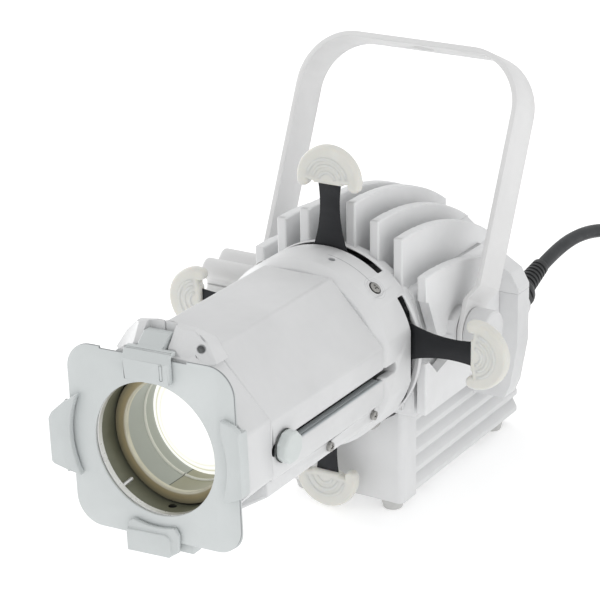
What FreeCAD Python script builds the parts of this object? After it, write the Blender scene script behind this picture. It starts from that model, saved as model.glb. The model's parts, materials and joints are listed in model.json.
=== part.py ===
import FreeCAD, Part
import math
import os

# Ellipsoidal LED profile spotlight, small stage type, lying along Y with its lens towards -Y.
# Millimetres. While it is modelled the optical axis is the line x = 0, z = 0, and y = 0 is the
# front of the colour frame. At the end the lamp is moved so that the origin lies on the floor
# under the middle of its box.

V = FreeCAD.Vector
X_AXIS = V(1, 0, 0)
Y_AXIS = V(0, 1, 0)
Z_AXIS = V(0, 0, 1)
CENTRE = V(0, 0, 0)

# ---- driving dimensions -------------------------------------------------------------------
FLOOR_Z = -89.5
FRAME_HALF = 42.0
FRAME_T = 1.2
FRAME_TURN = 1.9
OPENING_R = 30.2
BARREL_SIDE = 44.6
BARREL_TOP = 42.0
BARREL_BOTTOM = -37.0
BARREL_WALL = 2.6
BARREL_SEAM_Z = -14.5
NOSE_Y = (3.4, 22.0)
BARREL_Y = (22.0, 118.0)
COLLAR_R = 46.3
COLLAR_Y = (118.0, 151.4)
CAVITY_R = 42.8
TUBE_R = 33.0
TUBE_WALL = 1.6
SLOT_Y = (22.6, 130.0)
SLOT_HALF = 2.4
FOCUS_Y = 30.7
FOCUS_STEM_R = 2.0
BLADE_SLOT_Y = (143.6, 148.4)
BLADE_PITCH = 1.2
BLADE_T = 0.7
BLADE_END = 75.0
GRIP_R = 16.5
GRIP_T = 5.5
GATE_R = 15.5
FIN_X = (6.25, 18.75, 31.25, 43.75)
FIN_TOPS = (64.5, 57.5, 51.0, 34.5)
FIN_REARS = (246.0, 246.0, 246.0, 231.0)
FIN_T = 5.0
FIN_Y = (155.0, 246.0)
FIN_BOTTOM = -34.0
PIVOT_Y = 185.0
PIVOT_Z = 1.0
YOKE_HALF = 59.6
YOKE_T = 2.6
YOKE_W = 22.0
YOKE_REACH = 130.4
YOKE_LEAN = 24.3
YOKE_STEP = 4.8
YOKE_CORNER_R = 28.0
YOKE_HOLE_R = 5.25
BOLT_R = 3.0
PIN_FIT = 0.06
BOX_HALF = 32.5
BOX_Y = (157.5, 281.0)
BOX_Z = (-84.5, -37.0)
BOX_WALL = 2.5
RIB_DEPTH = 2.4
HOLLOW_HALF = BOX_HALF - RIB_DEPTH - 1.4
COVER_Y = (231.0, 258.0)
COVER_HALF = 56.2
COVER_SEAM_Z = 3.0
COVER_WALL = 2.6
COVER_STRAIGHT = 243.0
COVER_TAPER = 0.8
GLAND_AT = V(38.5, 258.0, -14.5)
GLAND_RISE = 17.2
BOSS_LENGTH = 4.0
CORD_START = 15.0
CORD_D = 7.0
COIL_CENTRE = (131.0, 385.0)
COIL_R = (31.5, 45.5)
COIL_LIFT = 13.7
PLUG_R = 18.5

# ---- helpers ------------------------------------------------------------------------------


def box(x, y, z):
    return Part.makeBox(x[1] - x[0], y[1] - y[0], z[1] - z[0], V(x[0], y[0], z[0]))


def rod_x(radius, x, y=0.0, z=0.0):
    return Part.makeCylinder(radius, x[1] - x[0], V(x[0], y, z), X_AXIS)


def rod_y(radius, y, x=0.0, z=0.0):
    return Part.makeCylinder(radius, y[1] - y[0], V(x, y[0], z), Y_AXIS)


def rod_z(radius, z, x=0.0, y=0.0):
    return Part.makeCylinder(radius, z[1] - z[0], V(x, y, z[0]), Z_AXIS)


def ring_y(outer, inner, y):
    return rod_y(outer, y).cut(rod_y(inner, y))


def turned_y(profile):
    """Solid of revolution about the optical axis from (radius, y) corners."""
    corners = [V(radius, y, 0) for radius, y in profile]
    return Part.Face(Part.makePolygon(corners + corners[:1])).revolve(CENTRE, Y_AXIS, 360)


def prism_x(outline, x):
    """Extrude (y, z) corners along X."""
    corners = [V(x[0], y, z) for y, z in outline]
    return Part.Face(Part.makePolygon(corners + corners[:1])).extrude(V(x[1] - x[0], 0, 0))


def prism_y(outline, y):
    """Extrude (x, z) corners along Y."""
    corners = [V(x, y[0], z) for x, z in outline]
    return Part.Face(Part.makePolygon(corners + corners[:1])).extrude(V(0, y[1] - y[0], 0))


def fuse(shapes):
    return shapes[0].multiFuse(shapes[1:]).removeSplitter()


def turn(shape, axis, degrees, centre=CENTRE):
    copy = shape.copy()
    copy.rotate(centre, axis, degrees)
    return copy


def runs_along(edge, axis):
    """True for a straight edge that is parallel to a unit axis."""
    straight = edge.Curve.TypeId == "Part::GeomLine"
    return straight and abs(abs(edge.Curve.Direction.dot(axis)) - 1.0) < 1e-4


def soften(shape, radius, pick):
    return shape.makeFillet(radius, [edge for edge in shape.Edges if pick(edge)])


def beyond_plane(point, normal):
    """Block that fills the space in front of a plane."""
    slab = Part.makeBox(80, 80, 40, V(-40, -40, 0))
    slab.Placement = FreeCAD.Placement(point, FreeCAD.Rotation(Z_AXIS, normal))
    return slab


def both_sides(right):
    """Close an outline of (x, z) corners by its mirror image in x = 0."""
    return right + [(-x, z) for x, z in reversed(right)]


# ---- front: nose, colour frame holder, colour frame, spring clip ------------------------------


def octagon(inset=0.0):
    """Barrel outline: upright sides, sloping shoulders, flat top and a narrower bottom."""
    side = BARREL_SIDE - inset
    return both_sides([(18.0 - inset / 2, BARREL_BOTTOM + inset), (side, -13.2), (side, 13.2),
                       (17.6 - inset / 2, BARREL_TOP - inset)])


HINGE_Y = 11.0
HINGE_Z = 47.5
CLIP_X = (-11.4, 12.2)
TONGUE_X = (-7.0, 6.0)
PIN_R = 1.0


def nose_ring():
    """Cast ring that closes the barrel, with a raised block on top that carries the clip."""
    ring = soften(prism_y(octagon(), NOSE_Y), 3.0, lambda e: runs_along(e, Y_AXIS))
    hump_side = [(25.5, 38.0), (20.5, 46.0), (14.5, 51.3), (4.0, 53.4)]
    hump = prism_y(both_sides(hump_side), (NOSE_Y[0] + 1.5, NOSE_Y[1]))
    hump = hump.cut(beyond_plane(V(0, 4.9, 45.0), V(0, -0.74, 0.67)))
    hump = hump.cut(beyond_plane(V(0, HINGE_Y + 3.5, 53.4), V(0, 0.66, 0.75)))
    for side in (-1, 1):
        hump = hump.cut(beyond_plane(V(side * 10.5, 4.9, 45.0), V(side * 0.58, -0.64, 0.50)))
    body = fuse([ring, hump]).cut(rod_y(TUBE_R, (0, 30)))
    pocket = box((TONGUE_X[0] - 0.7, TONGUE_X[1] + 0.7), (0, HINGE_Y + 3.0), (42.6, 60))
    split = box((-0.25, 0.25), (HINGE_Y + 2.9, 23), (33.5, 60))
    screw = Part.makeCylinder(1.7, 6, V(19.57, 11.14, 44.85), V(-0.58, 0.64, -0.50))
    slot = box((16.4, 20.4), (14.1, 15.0), (46.4, 60))
    bore = rod_x(PIN_R, (-11.0, 10.0), HINGE_Y, HINGE_Z)
    return body.cut(pocket).cut(split).cut(screw).cut(slot).cut(bore)


def frame_holder():
    """Backing plate behind the colour frame with three arms that hook over its edges."""
    back_y = (NOSE_Y[0] - 1.6, NOSE_Y[0])
    plate = box((-40.5, 40.5), back_y, (-40.5, 38.0))
    plate = soften(plate, 9.0, lambda e: runs_along(e, Y_AXIS))
    edge = FRAME_HALF + 1.0
    front = (-3.6, -0.5)
    web = (-3.6, NOSE_Y[0])
    left_hook = prism_y([(-52.3, -13.4), (-51.2, -14.6), (-43.0, -16.4), (-35.0, -17.8),
                         (-35.0, 21.4), (-39.5, 18.0), (-43.6, 15.6), (-50.6, 9.6), (-52.3, 6.6)], front)
    left_web = prism_y([(-52.3, -13.4), (-51.2, -14.6), (-edge - 0.4, -16.4), (-edge - 0.4, 15.6),
                        (-50.6, 9.6), (-52.3, 6.6)], web)
    left_foot = box((-50.0, -40.0), back_y, (-14.0, 9.0))
    left = fuse([left_web, left_hook, left_foot]).cut(rod_y(40.6, (-4, 0), -0.6, 0.7))
    right_hook = prism_y([(36.0, -16.4), (42.6, -13.6), (45.0, -12.4), (45.0, 16.6), (42.0, 19.2),
                          (36.0, 21.0)], front)
    right = fuse([box((edge - 0.6, 45.0), web, (-12.4, 16.0)), right_hook,
                  box((40.0, 45.0), back_y, (-12.4, 16.0))])
    right = right.cut(rod_y(38.8, (-4, 0), -0.6, 0.7))
    low_lip = prism_y([(-14.6, -47.6), (6.0, -47.4), (10.6, -44.8), (11.2, -36.6), (9.4, -33.8),
                       (6.9, -32.8), (-11.6, -33.0), (-14.6, -35.0)], (-2.5, -0.5))
    low_face = prism_y([(-15.2, -48.0), (6.4, -47.6), (7.4, -46.6), (7.4, -39.8), (6.4, -38.0),
                        (4.6, -37.2), (-15.2, -37.8)], front)
    low = fuse([box((-14.6, 6.0), web, (-47.6, -edge + 0.2)), low_lip, low_face,
                box((-14.0, 10.5), back_y, (-46.0, -40.0))])
    low = low.cut(rod_y(35.6, (-4, 0), -0.6, 0.7))
    tab = box((7.5, 15.5), (back_y[0], 8.0), (-46.3, -40.0))
    whole = fuse([plate, left, right, low, tab])
    return whole.cut(rod_y(TUBE_R, (-5, 20)))


def colour_frame():
    """Square gel frame with large round corners, a round opening and a shallow top recess."""
    centre_x = -0.6
    centre_z = 0.7
    x = (centre_x - FRAME_HALF, centre_x + FRAME_HALF)
    z = (centre_z - FRAME_HALF, centre_z + FRAME_HALF)
    plate = soften(box(x, (0, FRAME_T), z), 12.5, lambda e: runs_along(e, Y_AXIS))
    recess = box((-25.0, 19.0), (-1, 3), (z[1] - 1.0, z[1] + 1))
    plate = plate.cut(recess)
    return plate.cut(rod_y(OPENING_R, (-1, 3)))


def frame_clip():
    """Bent clip: tab in front of the frame, bridge over it, knuckle round the hinge pin."""
    tab = prism_x([(-3.2, 31.5), (-0.6, 31.5), (-0.6, 43.6), (0.0, 43.6), (0.0, 45.6), (-1.0, 45.0),
                   (-3.2, 41.0)], CLIP_X)
    rib = box((7.6, 9.0), (-3.6, -3.1), (33.6, 40.6))
    bridge = box(CLIP_X, (-0.6, 2.6), (43.6, 45.6))
    tongue = prism_x([(2.4, 43.6), (HINGE_Y, 44.9), (HINGE_Y, 50.1), (8.0, 50.1), (2.4, 45.6)],
                     TONGUE_X)
    knuckle = rod_x(2.6, TONGUE_X, HINGE_Y, HINGE_Z)
    body = fuse([tab, rib, bridge, tongue, knuckle])
    tall = soften(body, 1.4, lambda e: runs_along(e, Y_AXIS) and e.CenterOfMass.z < 33)
    return tall.cut(rod_x(PIN_R + PIN_FIT, (-20, 20), HINGE_Y, HINGE_Z))


def clip_pin():
    return rod_x(PIN_R, (-11.0, 10.0), HINGE_Y, HINGE_Z)


# ---- barrel, lens tube and collar ---------------------------------------------------------


def focus_slot(outer_x):
    ends = [rod_x(SLOT_HALF, (20, outer_x), y) for y in (SLOT_Y[0] + SLOT_HALF,
                                                         SLOT_Y[1] - SLOT_HALF)]
    middle = box((20, outer_x), (SLOT_Y[0] + SLOT_HALF, SLOT_Y[1] - SLOT_HALF),
                 (-SLOT_HALF, SLOT_HALF))
    return fuse([middle] + ends)


def barrel_upper():
    """Top half shell, whose lower lip overhangs the bottom half."""
    outer = soften(prism_y(octagon(), BARREL_Y), 3.0, lambda e: runs_along(e, Y_AXIS))
    hollow = prism_y(octagon(BARREL_WALL), (BARREL_Y[0] - 1, BARREL_Y[1] + 1))
    kept = box((-60, 60), BARREL_Y, (BARREL_SEAM_Z, 60))
    return outer.cut(hollow).common(kept).cut(focus_slot(60))


SEAM_SCREW_Y = (73.0, 112.0)


def barrel_lower():
    """Bottom half shell with a flat band under the lip for the seam screws."""
    outline = both_sides([(18.0, BARREL_BOTTOM), (42.0, -21.5), (42.0, BARREL_SEAM_Z)])
    inner = both_sides([(16.6, BARREL_BOTTOM + BARREL_WALL), (39.4, -20.2), (39.4, 0)])
    shell = soften(prism_y(outline, BARREL_Y), 1.5, lambda e: runs_along(e, Y_AXIS)
                   and e.CenterOfMass.z < BARREL_SEAM_Z - 2)
    shell = shell.cut(prism_y(inner, (BARREL_Y[0] - 1, BARREL_Y[1] + 1)))
    for y in SEAM_SCREW_Y:
        for side in (-1, 1):
            shell = shell.cut(seam_screw(side, y))
    return shell


def seam_screw(side, y):
    start = V(side * 44.0, y, -18.0)
    inward = V(-side, 0, 0)
    head = Part.makeCylinder(2.4, 1.9, start, inward)
    shank = Part.makeCylinder(1.3, 6.0, start, inward)
    return head.fuse(shank).removeSplitter()


def barrel_screws():
    return Part.makeCompound([seam_screw(side, y) for y in SEAM_SCREW_Y for side in (-1, 1)])


def lens_tube():
    """Round liner that guides the focusing lens, slotted for the focus stem."""
    dimple = Part.makeCylinder(1.8, 2.4, V(-0.25, 12.4, -30.0), V(0, 0, -1))
    return ring_y(TUBE_R, TUBE_R - TUBE_WALL, (2.0, 132.0)).cut(focus_slot(60)).cut(dimple)


def trim_ring():
    """Thin bright ring just inside the mouth of the lens tube."""
    return ring_y(TUBE_R - TUBE_WALL, TUBE_R - TUBE_WALL - 1.0, (2.0, 5.2))


BLADES = (
    ("top", 0.0, 1.8, 1.9, 0),
    ("right", -90.0, -6.4, 0.6, 1),
    ("bottom", 180.0, 2.3, -5.2, 2),
    ("left", 90.0, 4.6, -2.4, 3),
)


def blade_plane(index):
    return BLADE_SLOT_Y[0] + 0.6 + index * BLADE_PITCH


COLLAR_SCREWS = (47.6, 132.4, -132.4, -47.6)
COLLAR_SCREW_Y = 134.0


def collar_screw(angle):
    """Pan head screw that points at the axis, in a shallow seat on the collar."""
    out = V(math.cos(math.radians(angle)), 0, math.sin(math.radians(angle)))
    start = out * (COLLAR_R + 0.9) + V(0, COLLAR_SCREW_Y, 0)
    head = Part.makeCylinder(3.1, 2.1, start, out * -1)
    shank = Part.makeCylinder(1.6, 9.0, start, out * -1)
    return head.fuse(shank).removeSplitter()


def collar_screws():
    return Part.makeCompound([collar_screw(angle) for angle in COLLAR_SCREWS])


def shutter_window():
    """Sector that opens the collar wall over 72 degrees for one blade."""
    reach = 80.0
    half = math.radians(36.0)
    corner = (reach * math.sin(half), reach * math.cos(half))
    return prism_y([(0, 0), corner, (-corner[0], corner[1])], BLADE_SLOT_Y)


GATE_PLATE_R = 45.3
GATE_PLATE_Y = (BLADE_SLOT_Y[1], BLADE_SLOT_Y[1] + 1.4)


def collar():
    """Round shutter housing with flat sides, a front bulkhead and four blade windows."""
    body = turned_y([(TUBE_R, 128.0), (TUBE_R, 132.0), (CAVITY_R, 132.0),
                     (CAVITY_R, COLLAR_Y[1]), (COLLAR_R, COLLAR_Y[1]), (COLLAR_R, 123.0),
                     (COLLAR_R - 3.4, COLLAR_Y[0]), (CAVITY_R - 2.5, COLLAR_Y[0]),
                     (CAVITY_R - 2.5, 128.0)])
    flats = box((-BARREL_SIDE, BARREL_SIDE), (100, BLADE_SLOT_Y[0]), (-60, 60))
    rear = box((-60, 60), (BLADE_SLOT_Y[0], 160), (-60, 60))
    body = body.common(fuse([flats, rear]))
    for quarter in range(4):
        body = body.cut(turn(shutter_window(), Y_AXIS, 90 * quarter))
    for angle in COLLAR_SCREWS:
        body = body.cut(collar_screw(angle))
    out = V(math.cos(math.radians(77.4)), 0, math.sin(math.radians(77.4)))
    body = body.cut(Part.makeCylinder(1.5, 2.6, out * 47.5 + V(0, 131.4, 0), out * -1))
    rebate = rod_y(GATE_PLATE_R, (BLADE_SLOT_Y[1] - 0.01, GATE_PLATE_Y[1]))
    return body.cut(focus_slot(60)).cut(rebate)


def shutter_guide():
    """Front guide ring that the blades slide on."""
    return ring_y(CAVITY_R, GATE_R + 6.0, (BLADE_SLOT_Y[0] - 1.6, BLADE_SLOT_Y[0]))


def gate_plate():
    """Rear guide with the round gate that the lens projects."""
    return ring_y(GATE_PLATE_R, GATE_R, GATE_PLATE_Y)


# ---- shutters -----------------------------------------------------------------------------


def blade_outline():
    """Face of an upright blade: wide inner plate, waisted neck and plain tip."""
    wide = 19.0
    inner = 17.5
    shoulder = 32.0
    neck_start = 41.0
    tip = BLADE_END + 8.0
    right_waist = Part.Arc(V(9.6, 0, neck_start), V(5.3, 0, 60.0), V(6.0, 0, BLADE_END)).toShape()
    left_waist = Part.Arc(V(-6.0, 0, BLADE_END), V(-5.3, 0, 60.0), V(-9.6, 0, neck_start)).toShape()
    corners_right = [V(-wide, 0, inner), V(wide, 0, inner), V(wide, 0, shoulder), V(12, 0, 37.5),
                     V(9.6, 0, neck_start)]
    corners_left = [V(-9.6, 0, neck_start), V(-12, 0, 37.5), V(-wide, 0, shoulder),
                    V(-wide, 0, inner)]
    top = [V(6.0, 0, BLADE_END), V(4.6, 0, tip), V(-4.6, 0, tip), V(-6.0, 0, BLADE_END)]
    edges = Part.makePolygon(corners_right).Edges + [right_waist]
    edges += Part.makePolygon(top).Edges + [left_waist] + Part.makePolygon(corners_left).Edges
    return Part.Face(Part.Wire(Part.__sortEdges__(edges)))


def blade(angle, across, out, index):
    """One blade in its place: angle turns it about the axis, out is how far it is drawn."""
    flat = blade_outline()
    flat.translate(V(across, blade_plane(index) - BLADE_T / 2, out))
    return turn(flat.extrude(V(0, BLADE_T, 0)), Y_AXIS, -angle)


def grip_body():
    """Moulded half-moon handle with two rounded ends that hook back towards the collar."""
    base = BLADE_END - 0.6
    disc = rod_y(GRIP_R, (-GRIP_T / 2, GRIP_T / 2), 0, base + 1.8)
    keep = box((-30, 30), (-10, 10), (base + 1.0, base + 30))
    moon = disc.common(keep)
    hooks = [rod_y(3.0, (-GRIP_T / 2, GRIP_T / 2), side * (GRIP_R - 3.1), base + 0.6)
             for side in (-1, 1)]
    lip = box((-7.2, 7.2), (-GRIP_T / 2, GRIP_T / 2), (base, base + 2))
    whole = fuse([moon, lip] + hooks)
    rims = [edge for edge in whole.Edges if edge.Length > 20
            and abs(abs(edge.CenterOfMass.y) - GRIP_T / 2) < 0.01
            and edge.CenterOfMass.z > base + 6]
    return whole.makeFillet(1.6, rims)


def grip(angle, across, out, index):
    body = grip_body()
    body.translate(V(across, blade_plane(index), out))
    return turn(body, Y_AXIS, -angle).cut(blade(angle, across, out, index))


# ---- focusing lens ------------------------------------------------------------------------

KNOB_FACE_X = 50.4
CARRIAGE_R = TUBE_R - TUBE_WALL - 0.5
LENS_R = 26.0
LENS_Y = 34.0


def lens_carriage():
    """Sliding tube that holds the lens between a front ring and a rear shoulder."""
    body = ring_y(CARRIAGE_R, LENS_R, (17.6, 50.0))
    shoulder = ring_y(LENS_R, LENS_R - 2.0, (LENS_Y + 6.0, LENS_Y + 8.0))
    body = fuse([body, shoulder])
    return body.cut(rod_x(FOCUS_STEM_R, (20, 40), FOCUS_Y))


def lens_ring():
    """Bronze retaining ring on the front of the carriage."""
    return ring_y(CARRIAGE_R, LENS_R - 0.6, (15.2, 17.6))


def lens():
    """Plano-convex glass, curved side to the front."""
    centre_y = LENS_Y + 6.0
    sphere_r = (LENS_R ** 2 + 36.0) / 12.0 + 6.0
    ball = Part.makeSphere(sphere_r, V(0, centre_y - 8.0 + sphere_r, 0))
    return rod_y(LENS_R, (centre_y - 9.0, centre_y)).common(ball)


def focus_stem():
    """Threaded stem that joins the lens carriage to its knob through the side slot."""
    return rod_x(FOCUS_STEM_R, (LENS_R + 1.0, KNOB_FACE_X - 1.6), FOCUS_Y)


def focus_knob():
    """Eight-sided clamping knob on the stem."""
    knob = prism_x([(FOCUS_Y + 7.4 * math.cos(math.radians(45 * n + 22.5)),
                     7.4 * math.sin(math.radians(45 * n + 22.5))) for n in range(8)],
                   (BARREL_SIDE + 1.0, KNOB_FACE_X))
    knob = soften(knob, 1.2, lambda e: e.CenterOfMass.x > KNOB_FACE_X - 0.1)
    seat = rod_x(5.0, (BARREL_SIDE + 0.4, BARREL_SIDE + 1.2), FOCUS_Y)
    return fuse([knob, seat]).cut(rod_x(FOCUS_STEM_R + PIN_FIT, (40, KNOB_FACE_X - 1.4), FOCUS_Y))


# ---- heat sink, light source --------------------------------------------------------------


def fin(x, top, rear):
    """Upright cooling fin whose top falls away towards the rear in one arc."""
    y0, y1 = FIN_Y
    arc = Part.Arc(V(x, y0, top), V(x, y0 + 50.0, top - 5.6), V(x, y1, top - 24.0)).toShape()
    rest = Part.makePolygon([V(x, y1, top - 24.0), V(x, y1, FIN_BOTTOM), V(x, y0, FIN_BOTTOM),
                             V(x, y0, top)])
    face = Part.Face(Part.Wire([arc] + rest.Edges))
    slab = face.extrude(V(FIN_T, 0, 0))
    slab.translate(V(-FIN_T / 2, 0, 0))
    slab = slab.common(box((x - FIN_T, x + FIN_T), (y0, rear), (FIN_BOTTOM, top + 1)))
    return soften(slab, 0.9, lambda e: e.CenterOfMass.z > -20 and abs(abs(e.CenterOfMass.x - x)
                  - FIN_T / 2) < 0.01)


def outer_fin_gap():
    """V-shaped notch that clears the shutter handle and the yoke in the outermost fins."""
    return prism_x([(150.0, 24.0), (157.0, 22.0), (165.5, 3.5), (171.0, 0.5), (191.0, 0.5),
                    (199.0, -8.0), (166.0, -16.0), (158.0, -8.0), (150.0, -8.0)], (38.0, 60.0))


def heat_sink():
    """One casting: round mounting flange, core, eight tall fins and two pivot bosses."""
    flange = rod_y(44.0, (COLLAR_Y[1], 158.0))
    core = box((-39.0, 39.0), (157.0, COVER_Y[0]), (-37.0, 26.0))
    core = soften(core, 4.0, lambda e: runs_along(e, Y_AXIS) and e.CenterOfMass.z > 0)
    parts = [flange, core]
    for x, top, rear in zip(FIN_X, FIN_TOPS, FIN_REARS):
        parts += [fin(x, top, rear), fin(-x, top, rear)]
    body = fuse(parts)
    gap = outer_fin_gap()
    body = body.cut(gap).cut(gap.mirror(CENTRE, X_AXIS))
    for side in (-1, 1):
        ends = sorted((side * 30.0, side * (YOKE_HALF - YOKE_STEP - YOKE_T - 0.9)))
        body = body.fuse(rod_x(10.0, ends, PIVOT_Y, PIVOT_Z))
    cavity = rod_y(30.0, (150.0, 214.0))
    body = body.removeSplitter().cut(cavity)
    body = body.cut(box((-60, 60), (COVER_Y[0], 260), (-60, 60)).common(cover_block()))
    for side in (-1, 1):
        ends = sorted((side * 31.0, side * 60.0))
        body = body.cut(rod_x(BOLT_R, ends, PIVOT_Y, PIVOT_Z))
    return body


def led_board():
    return rod_y(20.0, (212.4, 214.0)).cut(rod_y(1.6, (210, 216), 14.0)).cut(
        rod_y(1.6, (210, 216), -14.0))


def led_emitter():
    """Square light source with its round glowing patch."""
    base = box((-9.5, 9.5), (211.2, 212.4), (-9.5, 9.5))
    return fuse([base, rod_y(6.5, (210.8, 211.4))])


def reflector():
    """Ellipsoidal reflector that gathers the light into the gate."""
    outer = [(14.0, 210.0), (20.5, 200.0), (25.0, 188.0), (27.5, 174.0), (28.5, 158.0)]
    inner = [(radius - 1.2, y) for radius, y in reversed(outer)]
    return turned_y(outer + inner)


# ---- rear cover ---------------------------------------------------------------------------


def cover_form(inset, y):
    """Six-cornered block with long lower slopes, narrowing behind its straight front part."""
    outline = both_sides([(49.5, -53.0), (52.5, -46.0), (COVER_HALF, -24.0), (COVER_HALF, 5.5),
                          (52.0, 13.0), (40.0, 20.0), (22.0, 34.0)])
    corners = [V(x, y[0], z) for x, z in outline]
    wire = Part.makePolygon(corners + corners[:1])
    if inset:
        wire = wire.makeOffset2D(-inset, 2)
    straight = Part.Face(wire).extrude(V(0, COVER_STRAIGHT - y[0], 0))
    shoulder = wire.copy()
    shoulder.translate(V(0, COVER_STRAIGHT - y[0], 0))
    rear = shoulder.copy()
    rear.scale(COVER_TAPER, V(0, COVER_STRAIGHT, -10.0))
    rear.translate(V(0, y[1] - COVER_STRAIGHT, 0))
    return fuse([straight, Part.makeLoft([shoulder, rear], True, True)])


def cover_block():
    return cover_form(0, COVER_Y)


COVER_SCREWS = ((-30.0, -30.0), (26.0, -32.0), (-30.0, 9.0), (30.0, 9.0))


def cover_shell():
    """Hollow cover, open towards the heat sink core."""
    inside = cover_form(COVER_WALL, (COVER_Y[0] + COVER_WALL, COVER_Y[1] - COVER_WALL))
    shell = cover_block().fuse(gland_boss()).removeSplitter().cut(inside)
    mouth = box((-37.0, 37.0), (COVER_Y[0] - 1, COVER_Y[0] + 3), (-34.0, 15.0))
    shell = shell.cut(mouth).cut(gland_hole())
    for x, z in COVER_SCREWS:
        shell = shell.cut(cover_screw(x, z))
    return shell


def cover_screw(x, z):
    head = rod_y(3.0, (COVER_Y[1] - 1.2, COVER_Y[1] + 0.8), x, z)
    return head.fuse(rod_y(1.5, (COVER_Y[1] - 8.0, COVER_Y[1] - 1.0), x, z)).removeSplitter()


def cover_screws():
    return Part.makeCompound([cover_screw(x, z) for x, z in COVER_SCREWS])


def rear_cover_upper():
    return cover_shell().common(box((-60, 60), (200, 300), (COVER_SEAM_Z, 60)))


def rear_cover_lower():
    return cover_shell().common(box((-60, 60), (200, 300), (-60, COVER_SEAM_Z)))


# ---- driver box ---------------------------------------------------------------------------


def box_front_hollow():
    """Round clearance that the front top of the box leaves under the collar."""
    return rod_y(47.5, (BOX_Y[0] - 1, BOX_Y[0] + 6.0))


def ribbed_outline():
    """Outline of the ribbed length: three-cornered ridges at an even pitch down each side."""
    pitch = 9.2
    right = [(BOX_HALF - RIB_DEPTH, BOX_Z[0])]
    for ridge in range(5):
        z = BOX_Z[0] + 1.0 + ridge * pitch
        right += [(BOX_HALF, z + 1.6), (BOX_HALF, z + 4.0), (BOX_HALF - RIB_DEPTH, z + pitch - 1.0)]
    right.append((BOX_HALF - RIB_DEPTH, BOX_Z[1]))
    return both_sides(right)


RIB_START = 171.5


def driver_box():
    """Tray-shaped housing under the heat sink, smooth at the front and ribbed behind."""
    front = box((-BOX_HALF, BOX_HALF), (BOX_Y[0], RIB_START), BOX_Z)
    front = soften(front, 3.0, lambda e: runs_along(e, Z_AXIS)
                   and e.CenterOfMass.y < BOX_Y[0] + 1)
    ribbed = prism_y(ribbed_outline(), (RIB_START, BOX_Y[1]))
    body = fuse([front, ribbed]).cut(box_front_hollow())
    hollow = box((-HOLLOW_HALF, HOLLOW_HALF), (BOX_Y[0] + 8.0, BOX_Y[1] - BOX_WALL),
                 (BOX_Z[0] - 1, BOX_Z[1] - BOX_WALL))
    return body.cut(hollow).cut(cover_recess()).cut(cover_block())


def cover_recess():
    """Shallow seat for the underside cover, just inside the rim of the box."""
    return box((-HOLLOW_HALF, HOLLOW_HALF), (BOX_Y[0] + 1.2, BOX_Y[1] - BOX_WALL),
               (BOX_Z[0], BOX_Z[0] + 2.0))


def driver_box_cover():
    plate = cover_recess()
    for x, y in BOX_SCREWS:
        plate = plate.cut(box_screw(x, y))
    for x, y in FEET:
        plate = plate.cut(rod_z(2.0, (BOX_Z[0], BOX_Z[0] + 2.0), x, y))
    return plate


FEET = ((-24.0, 163.5), (24.0, 163.5), (-24.0, 269.0), (24.0, 269.0))
BOX_SCREWS = ((-25.0, 190.0), (25.0, 190.0), (-25.0, 250.0), (25.0, 250.0))


def box_screw(x, y):
    """Flat head screw, flush in the underside cover."""
    head = Part.makeCone(2.6, 1.4, 1.2, V(x, y, BOX_Z[0]), Z_AXIS)
    return head.fuse(rod_z(1.4, (BOX_Z[0] + 1.2, BOX_Z[0] + 7.0), x, y)).removeSplitter()


def box_screws():
    return Part.makeCompound([box_screw(x, y) for x, y in BOX_SCREWS])


def rubber_foot(x, y):
    """Tapered foot with a stud that pulls into the cover."""
    foot = Part.makeCone(4.6, 5.9, BOX_Z[0] - FLOOR_Z, V(x, y, FLOOR_Z), Z_AXIS)
    stud = rod_z(2.0, (BOX_Z[0] - 0.1, BOX_Z[0] + 2.0), x, y)
    return foot.fuse(stud).removeSplitter()


def rubber_feet():
    return Part.makeCompound([rubber_foot(x, y) for x, y in FEET])


def driver_board():
    return box((-23.0, 23.0), (172.0, 262.0), (-78.0, -76.4))


def driver_transformer():
    core = box((-14.0, 8.0), (196.0, 222.0), (-76.4, -58.0))
    return soften(core, 1.5, lambda e: runs_along(e, Z_AXIS))


def driver_capacitors():
    places = ((14.5, 184.0, 5.0, 14.0), (-15.0, 182.0, 4.0, 11.0), (13.0, 240.0, 6.3, 16.0))
    return Part.makeCompound([rod_z(r, (-76.4, -76.4 + height), x, y)
                              for x, y, r, height in places])


# ---- yoke and tilt hardware ---------------------------------------------------------------


def strap_half(outer, top, corner_r, foot):
    """Right-hand edge line of the strap, from its foot to the middle of the top bar."""
    step_low = 13.0
    step_high = 20.5
    straight = top - corner_r
    bend = math.sqrt(0.5) * corner_r
    line = Part.makePolygon([V(outer - YOKE_STEP, 0, foot), V(outer - YOKE_STEP, 0, step_low),
                             V(outer, 0, step_high), V(outer, 0, straight)])
    arc = Part.Arc(V(outer, 0, straight), V(outer - corner_r + bend, 0, straight + bend),
                   V(outer - corner_r, 0, top)).toShape()
    bar = Part.makePolygon([V(outer - corner_r, 0, top), V(0, 0, top)])
    return Part.Compound(line.Edges + [arc] + bar.Edges)


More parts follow.
